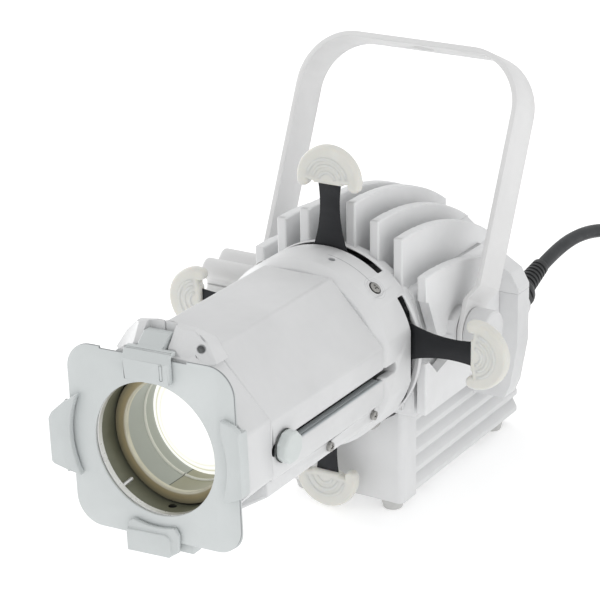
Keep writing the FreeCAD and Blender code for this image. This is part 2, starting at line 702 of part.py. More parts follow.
def yoke():
    """Flat strap bent to a stirrup; each leg steps inwards near its pivot hole."""
    foot = -YOKE_W / 2
    outer = strap_half(YOKE_HALF, YOKE_REACH, YOKE_CORNER_R, foot)
    inner = strap_half(YOKE_HALF - YOKE_T, YOKE_REACH - YOKE_T, YOKE_CORNER_R - YOKE_T, foot)
    close = [Part.makePolygon([V(YOKE_HALF - YOKE_STEP, 0, foot),
                               V(YOKE_HALF - YOKE_STEP - YOKE_T, 0, foot)]).Edges[0],
             Part.makePolygon([V(0, 0, YOKE_REACH), V(0, 0, YOKE_REACH - YOKE_T)]).Edges[0]]
    wire = Part.Wire(Part.__sortEdges__(outer.Edges + inner.Edges + close))
    half = Part.Face(wire).extrude(V(0, YOKE_W, 0))
    half.translate(V(0, -YOKE_W / 2, 0))
    strap = half.fuse(half.mirror(CENTRE, X_AXIS)).removeSplitter()
    rounded = fuse([rod_x(YOKE_W / 2, (-70, 70)), box((-70, 70), (-20, 20), (0, 140))])
    strap = strap.common(rounded)
    strap = strap.cut(rod_x(BOLT_R + PIN_FIT, (-70, 70)))
    strap = strap.cut(rod_z(YOKE_HOLE_R, (YOKE_REACH - 5, YOKE_REACH + 5)))
    strap = turn(strap, X_AXIS, -YOKE_LEAN)
    strap.translate(V(0, PIVOT_Y, PIVOT_Z))
    return strap


LEG_OUT = YOKE_HALF - YOKE_STEP
LEG_IN = LEG_OUT - YOKE_T


def friction_washers():
    washer = rod_x(8.5, (LEG_IN - 0.9, LEG_IN - 0.2), PIVOT_Y, PIVOT_Z)
    washer = washer.cut(rod_x(BOLT_R, (40, 60), PIVOT_Y, PIVOT_Z))
    return Part.makeCompound([washer, washer.mirror(CENTRE, X_AXIS)])


def tilt_bolt_left():
    return rod_x(BOLT_R, (-86.0, -31.0), PIVOT_Y, PIVOT_Z)


def tilt_bolt_right():
    return rod_x(BOLT_R, (31.0, LEG_OUT + 3.0), PIVOT_Y, PIVOT_Z)


def tilt_cap():
    """Round cap nut on the right-hand pivot."""
    cap = rod_x(10.6, (LEG_OUT + 0.3, 66.0), PIVOT_Y, PIVOT_Z)
    cap = soften(cap, 1.2, lambda e: abs(e.CenterOfMass.x - 66.0) < 0.01)
    return cap.cut(rod_x(BOLT_R, (40, LEG_OUT + 3.0), PIVOT_Y, PIVOT_Z))


def tilt_knob():
    """Four-lobed locking knob on the left-hand bolt."""
    x = (-89.0, -61.0)
    lobes = [rod_x(5.3, x, PIVOT_Y + 11.0 * math.cos(a), PIVOT_Z + 11.0 * math.sin(a))
             for a in (math.pi / 4 + n * math.pi / 2 for n in range(4))]
    web = [turn(box(x, (-11.0, 11.0), (-5.3, 5.3)), X_AXIS, angle) for angle in (45, 135)]
    for piece in web:
        piece.translate(V(0, PIVOT_Y, PIVOT_Z))
    body = fuse(lobes + web + [rod_x(8.6, (x[0], x[1]), PIVOT_Y, PIVOT_Z)])
    body = soften(body, 1.5, lambda e: abs(e.CenterOfMass.x - x[0]) < 0.01)
    hub = rod_x(8.0, (x[1] - 0.1, -LEG_OUT - 0.3), PIVOT_Y, PIVOT_Z)
    return fuse([body, hub]).cut(rod_x(BOLT_R + PIN_FIT, (-86.2, -50), PIVOT_Y, PIVOT_Z))


# ---- mains cord ---------------------------------------------------------------------------


def gland_axis():
    rise = math.radians(GLAND_RISE)
    return V(0.028, math.cos(rise), math.sin(rise)).normalize()


def gland_hole():
    axis = gland_axis()
    return Part.makeCylinder(7.0, 16.0, GLAND_AT - axis * 8.0, axis)


def gland_boss():
    """Slanted round boss on the rear cover that faces along the gland."""
    axis = gland_axis()
    return Part.makeCylinder(9.8, 6.0 + BOSS_LENGTH, GLAND_AT - axis * 6.0, axis)


def cable_gland():
    """Screw gland: threaded body through the cover, hexagon and dome nut outside."""
    axis = gland_axis()
    body = Part.makeCylinder(7.0, 12.0, GLAND_AT - axis * 8.0, axis)
    nut = Part.makeCylinder(9.0, 6.0, GLAND_AT + axis * BOSS_LENGTH, axis)
    dome = Part.makeCone(8.4, 6.2, 5.0, GLAND_AT + axis * (BOSS_LENGTH + 6.0), axis)
    hole = Part.makeCylinder(CORD_D / 2, 40.0, GLAND_AT - axis * 20.0, axis)
    return fuse([body, nut, dome]).cut(hole)


def strain_relief():
    """Tapered rubber sleeve round the cord where it leaves the gland."""
    axis = gland_axis()
    sleeve = Part.makeCone(5.6, 4.3, 20.0, GLAND_AT + axis * CORD_START, axis)
    hole = Part.makeCylinder(CORD_D / 2, 60.0, GLAND_AT - axis * 20.0, axis)
    return sleeve.cut(hole)


def rounded_path(points):
    """Wire of straight runs joined by tangent arcs as large as the two runs allow."""
    edges = []
    radii = []
    start = points[0]
    for before, corner, after in zip(points, points[1:], points[2:]):
        arriving = (corner - before).normalize()
        leaving = (after - corner).normalize()
        half_turn = arriving.getAngle(leaving) / 2
        setback = 0.45 * min((corner - before).Length, (after - corner).Length)
        radius = setback / math.tan(half_turn)
        entry = corner - arriving * setback
        leave = corner + leaving * setback
        inward = (leaving - arriving).normalize()
        middle = corner + inward * (radius / math.cos(half_turn) - radius)
        edges.append(Part.LineSegment(start, entry).toShape())
        edges.append(Part.Arc(entry, middle, leave).toShape())
        radii.append(round(radius, 1))
        start = leave
    edges.append(Part.LineSegment(start, points[-1]).toShape())
    return Part.Wire(edges), radii


def tube(points, name):
    path, radii = rounded_path(points)
    direction = (points[1] - points[0]).normalize()
    section = Part.Wire(Part.Circle(points[0], direction, CORD_D / 2).toShape())
    solid = path.makePipeShell([section], True, False)
    expected = math.pi * CORD_D ** 2 / 4 * path.Length
    print(name, "length", round(path.Length, 1), "radii", radii,
          "volume ratio", round(solid.Volume / expected, 4))
    return solid


CORD_FLOOR = FLOOR_Z + CORD_D / 2
LAYER = COIL_LIFT - CORD_D / 2


def cord_route():
    """Middle line of the cord from the gland to the coil, bare points."""
    axis = gland_axis()
    return [GLAND_AT + axis * CORD_START, GLAND_AT + axis * (CORD_START + 28.0),
            V(43.0, 331.0, 2.3), V(51.0, 361.0, -4.0), V(60.5, 384.0, -23.0),
            V(70.0, 400.0, -47.0), V(83.5, 412.5, -66.5), V(101.0, 421.0, -79.5),
            V(121.0, 425.8, CORD_FLOOR + 0.4)]


def tail_route():
    """Middle line of the short end between the coil and the plug."""
    leave = math.radians(-25.0)
    mid_r = sum(COIL_R) / 2 + CORD_D / 2
    heading = V(math.sin(leave), -math.cos(leave), 0)
    start = V(COIL_CENTRE[0] + mid_r * math.cos(leave), COIL_CENTRE[1] + mid_r * math.sin(leave),
              FLOOR_Z + LAYER)
    rise = V(0, 0, FLOOR_Z + PLUG_R - start.z)
    steps = ((16.0, 0.0), (26.0, 0.07), (36.0, 0.42), (46.0, 0.8), (56.0, 0.98), (64.0, 1.0))
    return [start + heading * along + rise * part for along, part in steps], heading


def mains_cable():
    return tube(cord_route(), "mains_cable")


def cable_coil():
    """Outer shape of the wound length: two layers of two turns."""
    x, y = COIL_CENTRE
    z = (FLOOR_Z, FLOOR_Z + COIL_LIFT)
    ring = rod_z(COIL_R[1], z, x, y).cut(rod_z(COIL_R[0], z, x, y))
    return soften(ring, 3.0, lambda e: e.Curve.TypeId == "Part::GeomCircle")


def cable_tail():
    return tube(tail_route()[0], "cable_tail")


PLUG_BACK = 22.0
PLUG_BODY = 20.0


def along_plug(profile):
    """Revolve (radius, distance) corners about the plug's axis, from the cord end outwards."""
    points, heading = tail_route()
    start = points[-1]
    side = V(-heading.y, heading.x, 0)
    corners = [start + side * radius + heading * distance for radius, distance in profile]
    return Part.Face(Part.makePolygon(corners + corners[:1])).revolve(start, heading, 360)


def plug_body():
    """Round two-pin mains plug with a tapered neck."""
    body = along_plug([(0, 0), (5.5, 0), (7.0, 9.0), (PLUG_R - 3.0, 17.0), (PLUG_R, PLUG_BACK),
                       (PLUG_R, PLUG_BACK + PLUG_BODY), (0, PLUG_BACK + PLUG_BODY)])
    return body


def plug_pins():
    points, heading = tail_route()
    face = points[-1] + heading * (PLUG_BACK + PLUG_BODY)
    side = V(-heading.y, heading.x, 0)
    return Part.makeCompound([Part.makeCylinder(2.4, 19.0, face + side * offset, heading)
                              for offset in (-9.5, 9.5)])


# ---- assembly -----------------------------------------------------------------------------

FRONT_TURNED = ("nose_ring", "frame_holder", "colour_frame", "frame_clip", "clip_pin")
CORD_NODES = ("strain_relief", "mains_cable", "cable_coil", "cable_tail", "plug_body",
              "plug_pins")
MAKERS = (nose_ring, frame_holder, colour_frame, frame_clip, clip_pin, barrel_upper,
          barrel_lower, barrel_screws, lens_tube, trim_ring, collar, collar_screws,
          shutter_guide, gate_plate, lens_carriage, lens_ring, lens, focus_stem, focus_knob,
          heat_sink, led_board, led_emitter, reflector, rear_cover_upper, rear_cover_lower,
          cover_screws, driver_box, driver_box_cover, box_screws, rubber_feet, driver_board,
          driver_transformer, driver_capacitors, yoke, friction_washers, tilt_bolt_left,
          tilt_bolt_right, tilt_cap, tilt_knob, cable_gland, strain_relief, mains_cable,
          cable_coil, cable_tail, plug_body, plug_pins)


def lamp():
    """Every piece by name, in modelling position."""
    pieces = {maker.__name__: maker() for maker in MAKERS}
    for name, *place in BLADES:
        pieces["shutter_blade_" + name] = blade(*place)
        pieces["shutter_grip_" + name] = grip(*place)
    for name in FRONT_TURNED:
        pieces[name] = turn(pieces[name], Y_AXIS, -FRAME_TURN)
    return pieces


def base_point(pieces):
    """Floor point under the middle of the lamp without its cord."""
    lit = Part.makeCompound([shape for name, shape in pieces.items() if name not in CORD_NODES])
    bounds = lit.optimalBoundingBox(False, False)
    return V((bounds.XMin + bounds.XMax) / 2, (bounds.YMin + bounds.YMax) / 2, bounds.ZMin)


def main():
    os.makedirs("parts", exist_ok=True)
    pieces = lamp()
    base = base_point(pieces)
    print("base point", round(base.x, 4), round(base.y, 4), round(base.z, 4))
    for name, shape in pieces.items():
        shape.translate(base * -1)
        if not shape.isValid():
            print("INVALID", name)
        shape.exportStep("parts/" + name + ".step")
        print(name, "solids", len(shape.Solids), "volume", round(shape.Volume, 1))


main()
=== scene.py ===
"""Looks of a small white ellipsoidal spotlight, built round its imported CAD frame."""

import json
import math

import bmesh
import bpy
from mathutils import Matrix, Vector


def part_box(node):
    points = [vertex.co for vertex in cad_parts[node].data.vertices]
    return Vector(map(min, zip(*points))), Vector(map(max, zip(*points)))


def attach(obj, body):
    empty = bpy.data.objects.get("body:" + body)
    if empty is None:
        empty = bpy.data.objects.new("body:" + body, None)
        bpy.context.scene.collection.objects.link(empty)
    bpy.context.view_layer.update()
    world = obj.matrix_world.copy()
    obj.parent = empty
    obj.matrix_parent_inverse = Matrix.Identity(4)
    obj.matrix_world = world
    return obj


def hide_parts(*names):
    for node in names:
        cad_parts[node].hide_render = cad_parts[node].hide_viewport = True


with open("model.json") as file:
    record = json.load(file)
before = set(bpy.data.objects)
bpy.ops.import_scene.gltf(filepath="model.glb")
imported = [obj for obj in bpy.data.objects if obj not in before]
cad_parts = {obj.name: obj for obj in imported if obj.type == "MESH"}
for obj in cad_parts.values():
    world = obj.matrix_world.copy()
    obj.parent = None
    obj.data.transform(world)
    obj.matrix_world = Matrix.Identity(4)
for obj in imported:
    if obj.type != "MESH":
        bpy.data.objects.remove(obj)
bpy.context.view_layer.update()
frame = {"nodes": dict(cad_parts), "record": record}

RECORD = frame["record"]
BODY_OF = {node: body for body, nodes in RECORD["behaviour"]["bodies"].items() for node in nodes}
COLLECTION = bpy.context.scene.collection


def at(x, y, z):
    """Point in metres from millimetres measured off the optical axis and the front plate."""
    return Vector((x - 1.5, y - 138.7, z + 89.5)) / 1000


# ---- camera -------------------------------------------------------------------------------

AZIMUTH = math.radians(31.32)
ELEVATION = math.radians(20.94)
ROLL = math.radians(-0.88)
DISTANCE = 1.00798
AIM = (0.0611875, 0.0629674)
LENS = 144
SENSOR = 36


def make_camera():
    """Camera that looks at the lamp from its front right, a little above it."""
    level = Vector((math.cos(AZIMUTH), math.sin(AZIMUTH), 0))
    back = Vector((math.sin(AZIMUTH) * math.cos(ELEVATION),
                   -math.cos(AZIMUTH) * math.cos(ELEVATION), math.sin(ELEVATION)))
    upright = back.cross(level)
    right = level * math.cos(ROLL) + upright * math.sin(ROLL)
    up = upright * math.cos(ROLL) - level * math.sin(ROLL)
    camera = bpy.data.objects.new("camera", bpy.data.cameras.new("camera"))
    camera.data.lens = LENS
    camera.data.sensor_width = SENSOR
    camera.data.clip_end = 50
    place = Matrix((right, up, back)).transposed().to_4x4()
    place.translation = at(0, 0, 0) + right * AIM[0] + up * AIM[1] + back * DISTANCE
    camera.matrix_world = place
    COLLECTION.objects.link(camera)
    bpy.context.scene.camera = camera


make_camera()

# ---- mains cord ---------------------------------------------------------------------------

CORD_R = 0.0035
COIL_AT = (131.0, 385.0)
COIL_R = 42.0
COIL_STEP_IN = 7.0
COIL_FLOOR = -86.0
COIL_LIFT = 6.8
COIL_START = math.radians(103.8)
COIL_LEAVE = math.radians(-25.0)
COIL_POINTS = 16
GLAND_AT = at(38.5, 258.0, -14.5)
GLAND_RISE = math.radians(17.2)
GLAND_AXIS = Vector((0.028, math.cos(GLAND_RISE), math.sin(GLAND_RISE))).normalized()
CORD_EXIT = GLAND_AT + GLAND_AXIS * 0.015
TAIL_HEADING = Vector((math.sin(COIL_LEAVE), -math.cos(COIL_LEAVE), 0))


def ease(value, low, high):
    """Smooth climb from 0 at low to 1 at high."""
    share = min(1.0, max(0.0, (value - low) / (high - low)))
    return share * share * (3 - 2 * share)


def coil_points():
    """Wound clockwise: an outer turn, an inner one that climbs on itself, an outer one on top."""
    turns = 3 + (COIL_START - COIL_LEAVE) / (2 * math.pi)
    points = []
    for n in range(1, int(turns * COIL_POINTS)):
        done = n / COIL_POINTS
        angle = COIL_START - done * 2 * math.pi
        radius = COIL_R - COIL_STEP_IN * (ease(done, 0.92, 1.12) - ease(done, 2.32, 2.5))
        lift = ease(done, 1.6, 1.85)
        points.append(at(COIL_AT[0] + radius * math.cos(angle),
                         COIL_AT[1] + radius * math.sin(angle), COIL_FLOOR + COIL_LIFT * lift))
    return points


def tail_points():
    """Straight off the coil's upper turn, then up to the middle of the plug's neck."""
    start = at(COIL_AT[0] + COIL_R * math.cos(COIL_LEAVE),
               COIL_AT[1] + COIL_R * math.sin(COIL_LEAVE), -79.3)
    rise = Vector((0, 0, 0.0083))
    steps = ((0.0, 0.0), (16.0, 0.0), (26.0, 0.07), (36.0, 0.42), (46.0, 0.8), (56.0, 0.98),
             (64.0, 1.0))
    return [start + TAIL_HEADING * (along / 1000) + rise * part for along, part in steps]


def cord_points():
    """The cord's whole line: out of the gland, down to the floor, round the coil, to the plug."""
    falling = [at(43.0, 331.0, 2.3), at(51.0, 361.0, -4.0), at(60.5, 384.0, -23.0),
               at(70.0, 400.0, -47.0), at(83.5, 412.5, -66.5), at(101.0, 421.0, -79.5),
               at(121.0, 425.8, -85.6)]
    leaving = [CORD_EXIT, GLAND_AT + GLAND_AXIS * 0.043]
    return leaving + falling + coil_points() + tail_points()


def make_cord():
    """The cord as one round tube along its line."""
    curve = bpy.data.curves.new("mains_cord", "CURVE")
    curve.dimensions = "3D"
    curve.bevel_depth = CORD_R
    curve.bevel_resolution = 6
    curve.use_fill_caps = True
    points = cord_points()
    spline = curve.splines.new("NURBS")
    spline.points.add(len(points) - 1)
    for place, point in zip(spline.points, points):
        place.co = (*point, 1)
    spline.order_u = 3
    spline.use_endpoint_u = True
    spline.resolution_u = 10
    cord = bpy.data.objects.new("mains_cord", curve)
    COLLECTION.objects.link(cord)
    return cord


cord = make_cord()

# ---- node materials -----------------------------------------------------------------------


class Shader:
    """A material's node tree, built one node at a time."""

    def __init__(self, name):
        self.material = bpy.data.materials.new(name)
        self.material.use_nodes = True
        self.tree = self.material.node_tree
        self.surface = self.tree.nodes["Principled BSDF"]
        self.place = self.node("ShaderNodeTexCoord").outputs["Object"]

    def node(self, kind, inputs=(), **settings):
        """A new node with these settings, and these inputs set or linked."""
        made = self.tree.nodes.new(kind)
        for key, value in settings.items():
            setattr(made, key, value)
        for key, value in dict(inputs).items():
            self.feed(made.inputs[key], value)
        return made

    def feed(self, socket, value):
        """Links another node's output to socket, or sets its value."""
        if isinstance(value, bpy.types.NodeSocket):
            self.tree.links.new(value, socket)
        else:
            socket.default_value = value

    def set(self, **values):
        """Feeds the surface's inputs, named with underscores for spaces."""
        for key, value in values.items():
            self.feed(self.surface.inputs[key.replace("_", " ")], value)

    def stretched(self, scale):
        """Places scaled by a different amount along each axis."""
        made = self.node("ShaderNodeMapping", {"Vector": self.place, "Scale": scale})
        return made.outputs["Vector"]

    def noise(self, scale, detail=3.0, rough=0.55, vector=None, distortion=0.0):
        """Cloudy noise, around 0.5."""
        inputs = {"Vector": vector or self.place, "Scale": scale, "Detail": detail,
                  "Roughness": rough, "Distortion": distortion}
        return self.node("ShaderNodeTexNoise", inputs).outputs["Fac"]

    def specks(self, scale, size, chosen, strength):
        """Small round specks in the chosen share of a grid of cells."""
        grid = self.node("ShaderNodeTexVoronoi", {"Vector": self.place, "Scale": scale})
        return self.math("MULTIPLY", self.span(grid.outputs["Distance"], *size, 1, 0),
                         self.span(grid.outputs["Color"], *chosen, 0, strength))

    def span(self, value, low, high, to_low, to_high):
        """Value carried from low..high to to_low..to_high, and held at the ends."""
        inputs = {"Value": value, "From Min": low, "From Max": high,
                  "To Min": to_low, "To Max": to_high}
        return self.node("ShaderNodeMapRange", inputs, clamp=True).outputs["Result"]

    def math(self, operation, *values):
        """One arithmetic step."""
        made = self.node("ShaderNodeMath", operation=operation)
        for socket, value in zip(made.inputs, values):
            self.feed(socket, value)
        return made.outputs[0]

    def blend(self, fac, first, second, how="MIX"):
        """Colour that goes from first to second as fac goes from 0 to 1."""
        made = self.node("ShaderNodeMix", data_type="RGBA", blend_type=how)
        self.feed(made.inputs["Factor"], fac)
        for socket, value in ((made.inputs[6], first), (made.inputs[7], second)):
            self.feed(socket, value if isinstance(value, bpy.types.NodeSocket) else (*value, 1.0))
        return made.outputs[2]

    def steps(self, fac, stops):
        """Colour ramp through stops of (position, colour)."""
        made = self.node("ShaderNodeValToRGB", {"Fac": fac})
        ramp = made.color_ramp
        while len(ramp.elements) < len(stops):
            ramp.elements.new(1.0)
        for element, (position, colour) in zip(ramp.elements, stops):
            element.position = position
            element.color = (*colour, 1.0)
        return made.outputs["Color"]

    def convexity(self):
        """Over 0.5 along corners, under it in creases."""
        return self.node("ShaderNodeNewGeometry").outputs["Pointiness"]

    def relief(self, *layers):
        """Layers are (height, strength, distance in metres), laid over each other."""
        normal = None
        for height, strength, distance in layers:
            inputs = {"Height": height, "Strength": strength, "Distance": distance}
            if normal:
                inputs["Normal"] = normal
            normal = self.node("ShaderNodeBump", inputs).outputs["Normal"]
        self.set(Normal=normal)

    def from_line(self, origin, direction):
        """Distance in millimetres from the line through origin along direction."""
        offset = self.node("ShaderNodeVectorMath", operation="SUBTRACT")
        self.feed(offset.inputs[0], self.place)
        offset.inputs[1].default_value = origin
        turned = self.node("ShaderNodeVectorMath", operation="CROSS_PRODUCT")
        self.feed(turned.inputs[0], offset.outputs[0])
        turned.inputs[1].default_value = Vector(direction).normalized() * 1000
        length = self.node("ShaderNodeVectorMath", operation="LENGTH")
        self.feed(length.inputs[0], turned.outputs[0])
        return length.outputs["Value"]

    def beyond(self, origin, direction):
        """Distance in millimetres past the plane through origin that faces along direction."""
        offset = self.node("ShaderNodeVectorMath", operation="SUBTRACT")
        self.feed(offset.inputs[0], self.place)
        offset.inputs[1].default_value = origin
        along = self.node("ShaderNodeVectorMath", operation="DOT_PRODUCT")
        self.feed(along.inputs[0], offset.outputs[0])
        along.inputs[1].default_value = Vector(direction).normalized() * 1000
        return along.outputs["Value"]

    def facing(self, direction):
        """How squarely the surface faces along direction, from -1 to 1."""
        made = self.node("ShaderNodeVectorMath", operation="DOT_PRODUCT")
        self.feed(made.inputs[0], self.node("ShaderNodeNewGeometry").outputs["True Normal"])
        made.inputs[1].default_value = direction
        return made.outputs["Value"]

    def band(self, value, low, high, soft):
        """1 while value is between low and high, fading over soft."""
        return self.math("MULTIPLY", self.span(value, low - soft, low, 0, 1),
                         self.span(value, high, high + soft, 1, 0))

    def all_of(self, *masks):
        """Product of several masks."""
        result = masks[0]
        for mask in masks[1:]:
            result = self.math("MULTIPLY", result, mask)
        return result


def tint(colour, share):
    """Colour made darker or lighter by share, and never over full white."""
    return [min(1, c * share) for c in colour]


def powder_coat(name, colour, rough=0.42, peel=0.16, marks=None):
    """Sprayed satin paint: orange peel, fine grain, dust nibs, a patchy painted highlight along
    corners and painted shade in creases.

    marks is a function that changes the tone in places and returns it with its relief layers.
    """
    s = Shader(name)
    broad = s.noise(22, 4)
    tone = s.blend(s.span(broad, 0.35, 0.65, 0, 1), tint(colour, 0.93), colour)
    corner = s.convexity()
    # Painted highlight: patchy lighter colour along convex corners.
    corner_highlight = s.math("MULTIPLY", s.span(corner, 0.53, 0.62, 0, 0.55),
                  s.span(s.noise(160, 5), 0.42, 0.62, 0, 1))
    tone = s.blend(corner_highlight, tone, tint(colour, 1.07))
    # Painted shade: darker colour in creases.
    tone = s.blend(s.span(corner, 0.46, 0.40, 0, 0.5), tone, tint(colour, 0.72))
    nib = s.specks(210, (0.045, 0.075), (0.90, 0.92), 0.45)
    tone = s.blend(nib, tone, tint(colour, 0.55))
    streak = s.noise(60, 4, 0.6, s.stretched((1.0, 1.0, 0.25)))
    tone, layers = marks(s, tone) if marks else (tone, ())
    s.set(Base_Color=tone, Roughness=s.span(streak, 0.3, 0.7, rough - 0.07, rough + 0.09))
    s.relief((s.noise(620, 2), peel, 0.00012), (s.noise(2600, 2), 0.10, 0.00004),
             (nib, 0.5, 0.00006), *layers)
    return s.material


UP = (0, 0, 1)
BACK = (0, 1, 0)
RIGHT = (1, 0, 0)
AXIS_AT = at(0, 0, 0)
COLLAR_SCREW_Y = 134.0


def out_at(angle):
    """Direction away from the optical axis, in degrees from +X towards +Z."""
    return (math.cos(math.radians(angle)), 0, math.sin(math.radians(angle)))


def collar_marks_and_shade(s, tone):
    """Turned seats round the screws with painted shade round each head, and on top a hairline seam
    that starts at a small hole, darkened as painted shade.
    """
    # Painted shade: the greys darken a ring round each screw head; the two thin rings further out
    # draw the seats' edges.
    greys = ((0.0, 0.25), (0.40, 0.30), (0.43, 1), (0.545, 1), (0.56, 0.62), (0.585, 1),
             (0.70, 1), (0.715, 0.74), (0.74, 1))
    seat_rings_and_shade = [(place, (grey,) * 3) for place, grey in greys]
    for angle in (47.6, 132.4):
        away = s.math("DIVIDE", s.from_line(at(0, COLLAR_SCREW_Y, 0), out_at(angle)), 8.0)
        tone = s.blend(1.0, tone, s.steps(away, seat_rings_and_shade), "MULTIPLY")
    seam = s.all_of(s.band(s.beyond(at(0, 134.4, 0), BACK), -0.12, 0.12, 0.15),
                    s.band(s.beyond(AXIS_AT, RIGHT), 7.5, 27.0, 2.0),
                    s.span(s.beyond(AXIS_AT, UP), 20, 21, 0, 1))
    # Painted shade: the small hole is darkened.
    hole = s.all_of(s.span(s.from_line(at(0, 131.4, 0), out_at(77.4)), 1.4, 1.8, 1, 0),
                    s.span(s.beyond(AXIS_AT, UP), 20, 21, 0, 1))
    tone = s.blend(s.math("MULTIPLY", seam, 0.75), tone, (0.22, 0.23, 0.24))
    return s.blend(hole, tone, (0.30, 0.31, 0.32)), ((seam, -0.5, 0.0004),)


def barrel_slot_shade(s, tone):
    """Painted shade: greyer paint on the lower wall of the focus slot."""
    # Painted shade on the up-facing lower wall of the slot.
    sill_shade = s.all_of(s.span(s.facing(UP), 0.5, 0.7, 0, 1),
                    s.band(s.beyond(AXIS_AT, UP), -4.5, 0.0, 0.2),
                    s.span(s.beyond(at(33, 0, 0), RIGHT), 0, 0.5, 0, 1))
    return s.blend(s.math("MULTIPLY", sill_shade, 0.85), tone, (0.60, 0.65, 0.67)), ()


def hump_hole_shade(s, tone):
    """Painted shade in the clip screw's hole on the hump: a grey rim and a paler middle."""
    around = s.from_line(at(17.23, 12.1, 44.7), (-0.563, 0.64, -0.519))
    hole = s.math("MULTIPLY", s.span(around, 1.9, 2.3, 1, 0),
                  s.span(s.beyond(at(0, 0, 38), UP), 0, 1, 0, 1))
    heart = s.math("MULTIPLY", s.span(around, 0.8, 1.3, 1, 0), hole)
    # Painted shade: the hole's rim is grey, its middle a paler grey.
    tone = s.blend(hole, tone, (0.45, 0.46, 0.465))
    return s.blend(s.math("MULTIPLY", heart, 0.8), tone, (0.62, 0.64, 0.64)), ()


def plate_edge_shade(s, tone):
    """Painted shadow: the plate's cut edge is made darker than its faces."""
    edge = s.all_of(s.span(s.math("ABSOLUTE", s.facing(BACK)), 0.3, 0.5, 1, 0),
                    s.span(s.from_line(AXIS_AT, BACK), 37, 38, 0, 1))
    # Painted shadow along the plate's cut edge.
    return s.blend(s.math("MULTIPLY", edge, 0.8), tone, (0.13, 0.14, 0.15)), ()


def rib_marks(s, tone):
    """Shade that gathers in the grooves down both sides of the driver box."""
    depth = s.span(s.math("ABSOLUTE", s.beyond(AXIS_AT, RIGHT)), 30.1, 32.3, 0.4, 0)
    groove = s.all_of(depth, s.span(s.beyond(at(0, 172, 0), BACK), 0, 1, 0, 1),
                      s.span(s.math("ABSOLUTE", s.facing(BACK)), 0.5, 0.6, 1, 0))
    return s.blend(groove, tone, (0.47, 0.48, 0.49)), ()


def silicone(name, colour):
    """Soft moulded rubber, a little see-through, with a matt bloom, dust and painted shade in
    creases.
    """
    s = Shader(name)
    cloud = s.noise(55, 5, 0.6)
    tone = s.blend(s.span(cloud, 0.35, 0.68, 0, 1), tint(colour, 0.94), colour)
    # Painted shade: darker, warmer colour in creases.
    edge = s.span(s.convexity(), 0.47, 0.40, 0, 0.45)
    tone = s.blend(edge, tone, (colour[0] * 0.78, colour[1] * 0.76, colour[2] * 0.68))
    dust = s.specks(330, (0.05, 0.09), (0.86, 0.88), 0.5)
    tone = s.blend(dust, tone, tint(colour, 0.62))
    s.set(Base_Color=tone, Roughness=s.span(s.noise(140, 4), 0.3, 0.7, 0.46, 0.66),
          Subsurface_Weight=0.25, Subsurface_Scale=0.002, Sheen_Weight=0.15, Sheen_Roughness=0.5)
    s.surface.inputs["Subsurface Radius"].default_value = (1.0, 0.8, 0.55)
    s.relief((s.noise(900, 3), 0.16, 0.00008), (cloud, 0.15, 0.0003))
    return s.material


def rolled_steel(name, colour, rough=0.36, grain=(18.0, 420.0, 420.0), metallic=1.0):
    """Bare or blackened sheet with rolling marks, small scratches and rubbed corners."""
    s = Shader(name)
    lines = s.noise(3.0, 6, 0.7, s.stretched(grain))
    patch = s.noise(45, 4)
    tone = s.blend(s.span(lines, 0.3, 0.7, 0, 1), tint(colour, 0.82), colour)
    tone = s.blend(s.span(patch, 0.55, 0.75, 0, 0.35), tone, tint(colour, 1.3))
    rubbed = s.math("MULTIPLY", s.span(s.convexity(), 0.54, 0.64, 0, 0.8),
                    s.span(s.noise(240, 4), 0.4, 0.6, 0, 1))
    tone = s.blend(rubbed, tone, [min(1, c * 1.6 + 0.12) for c in colour])
    s.set(Base_Color=tone, Metallic=metallic,
          Roughness=s.span(lines, 0.3, 0.7, rough - 0.08, rough + 0.12))
    s.relief((lines, 0.12, 0.00005), (s.noise(1500, 2), 0.06, 0.00003))
    return s.material


def moulded(name, colour, rough=0.45, grain=0.14, gloss=0.5):
    """Injection-moulded plastic or rubber with spark-eroded grain, faint flow marks and a painted
    highlight along convex edges.
    """
    s = Shader(name)
    flow = s.noise(30, 4, 0.6, distortion=0.6)
    tone = s.blend(s.span(flow, 0.35, 0.65, 0, 1), tint(colour, 0.9), colour)
    # Painted highlight: lighter colour along convex edges.
    tone = s.blend(s.span(s.convexity(), 0.54, 0.64, 0, 0.35), tone,
                   [min(1, c * 1.25 + 0.02) for c in colour])
    s.set(Base_Color=tone, Roughness=s.span(s.noise(180, 3), 0.3, 0.7, rough - 0.06, rough + 0.1),
          Specular_IOR_Level=gloss)
    s.relief((s.noise(1400, 2), grain, 0.00007), (flow, 0.1, 0.0002))
    return s.material


def cable_sheath(name):
    """Soft black PVC: matt, lightly ridged along its length, dusty."""
    s = Shader(name)
    flow = s.noise(40, 5, 0.65)
    tone = s.blend(s.span(flow, 0.35, 0.7, 0, 1), (0.018, 0.020, 0.022), (0.040, 0.043, 0.047))
    tone = s.blend(s.specks(260, (0.05, 0.1), (0.82, 0.86), 0.4), tone, (0.16, 0.16, 0.16))
    s.set(Base_Color=tone, Roughness=s.span(s.noise(120, 4), 0.3, 0.7, 0.38, 0.58),
          Specular_IOR_Level=0.5)
    s.relief((s.noise(700, 3), 0.18, 0.0001), (flow, 0.12, 0.0004))
    return s.material


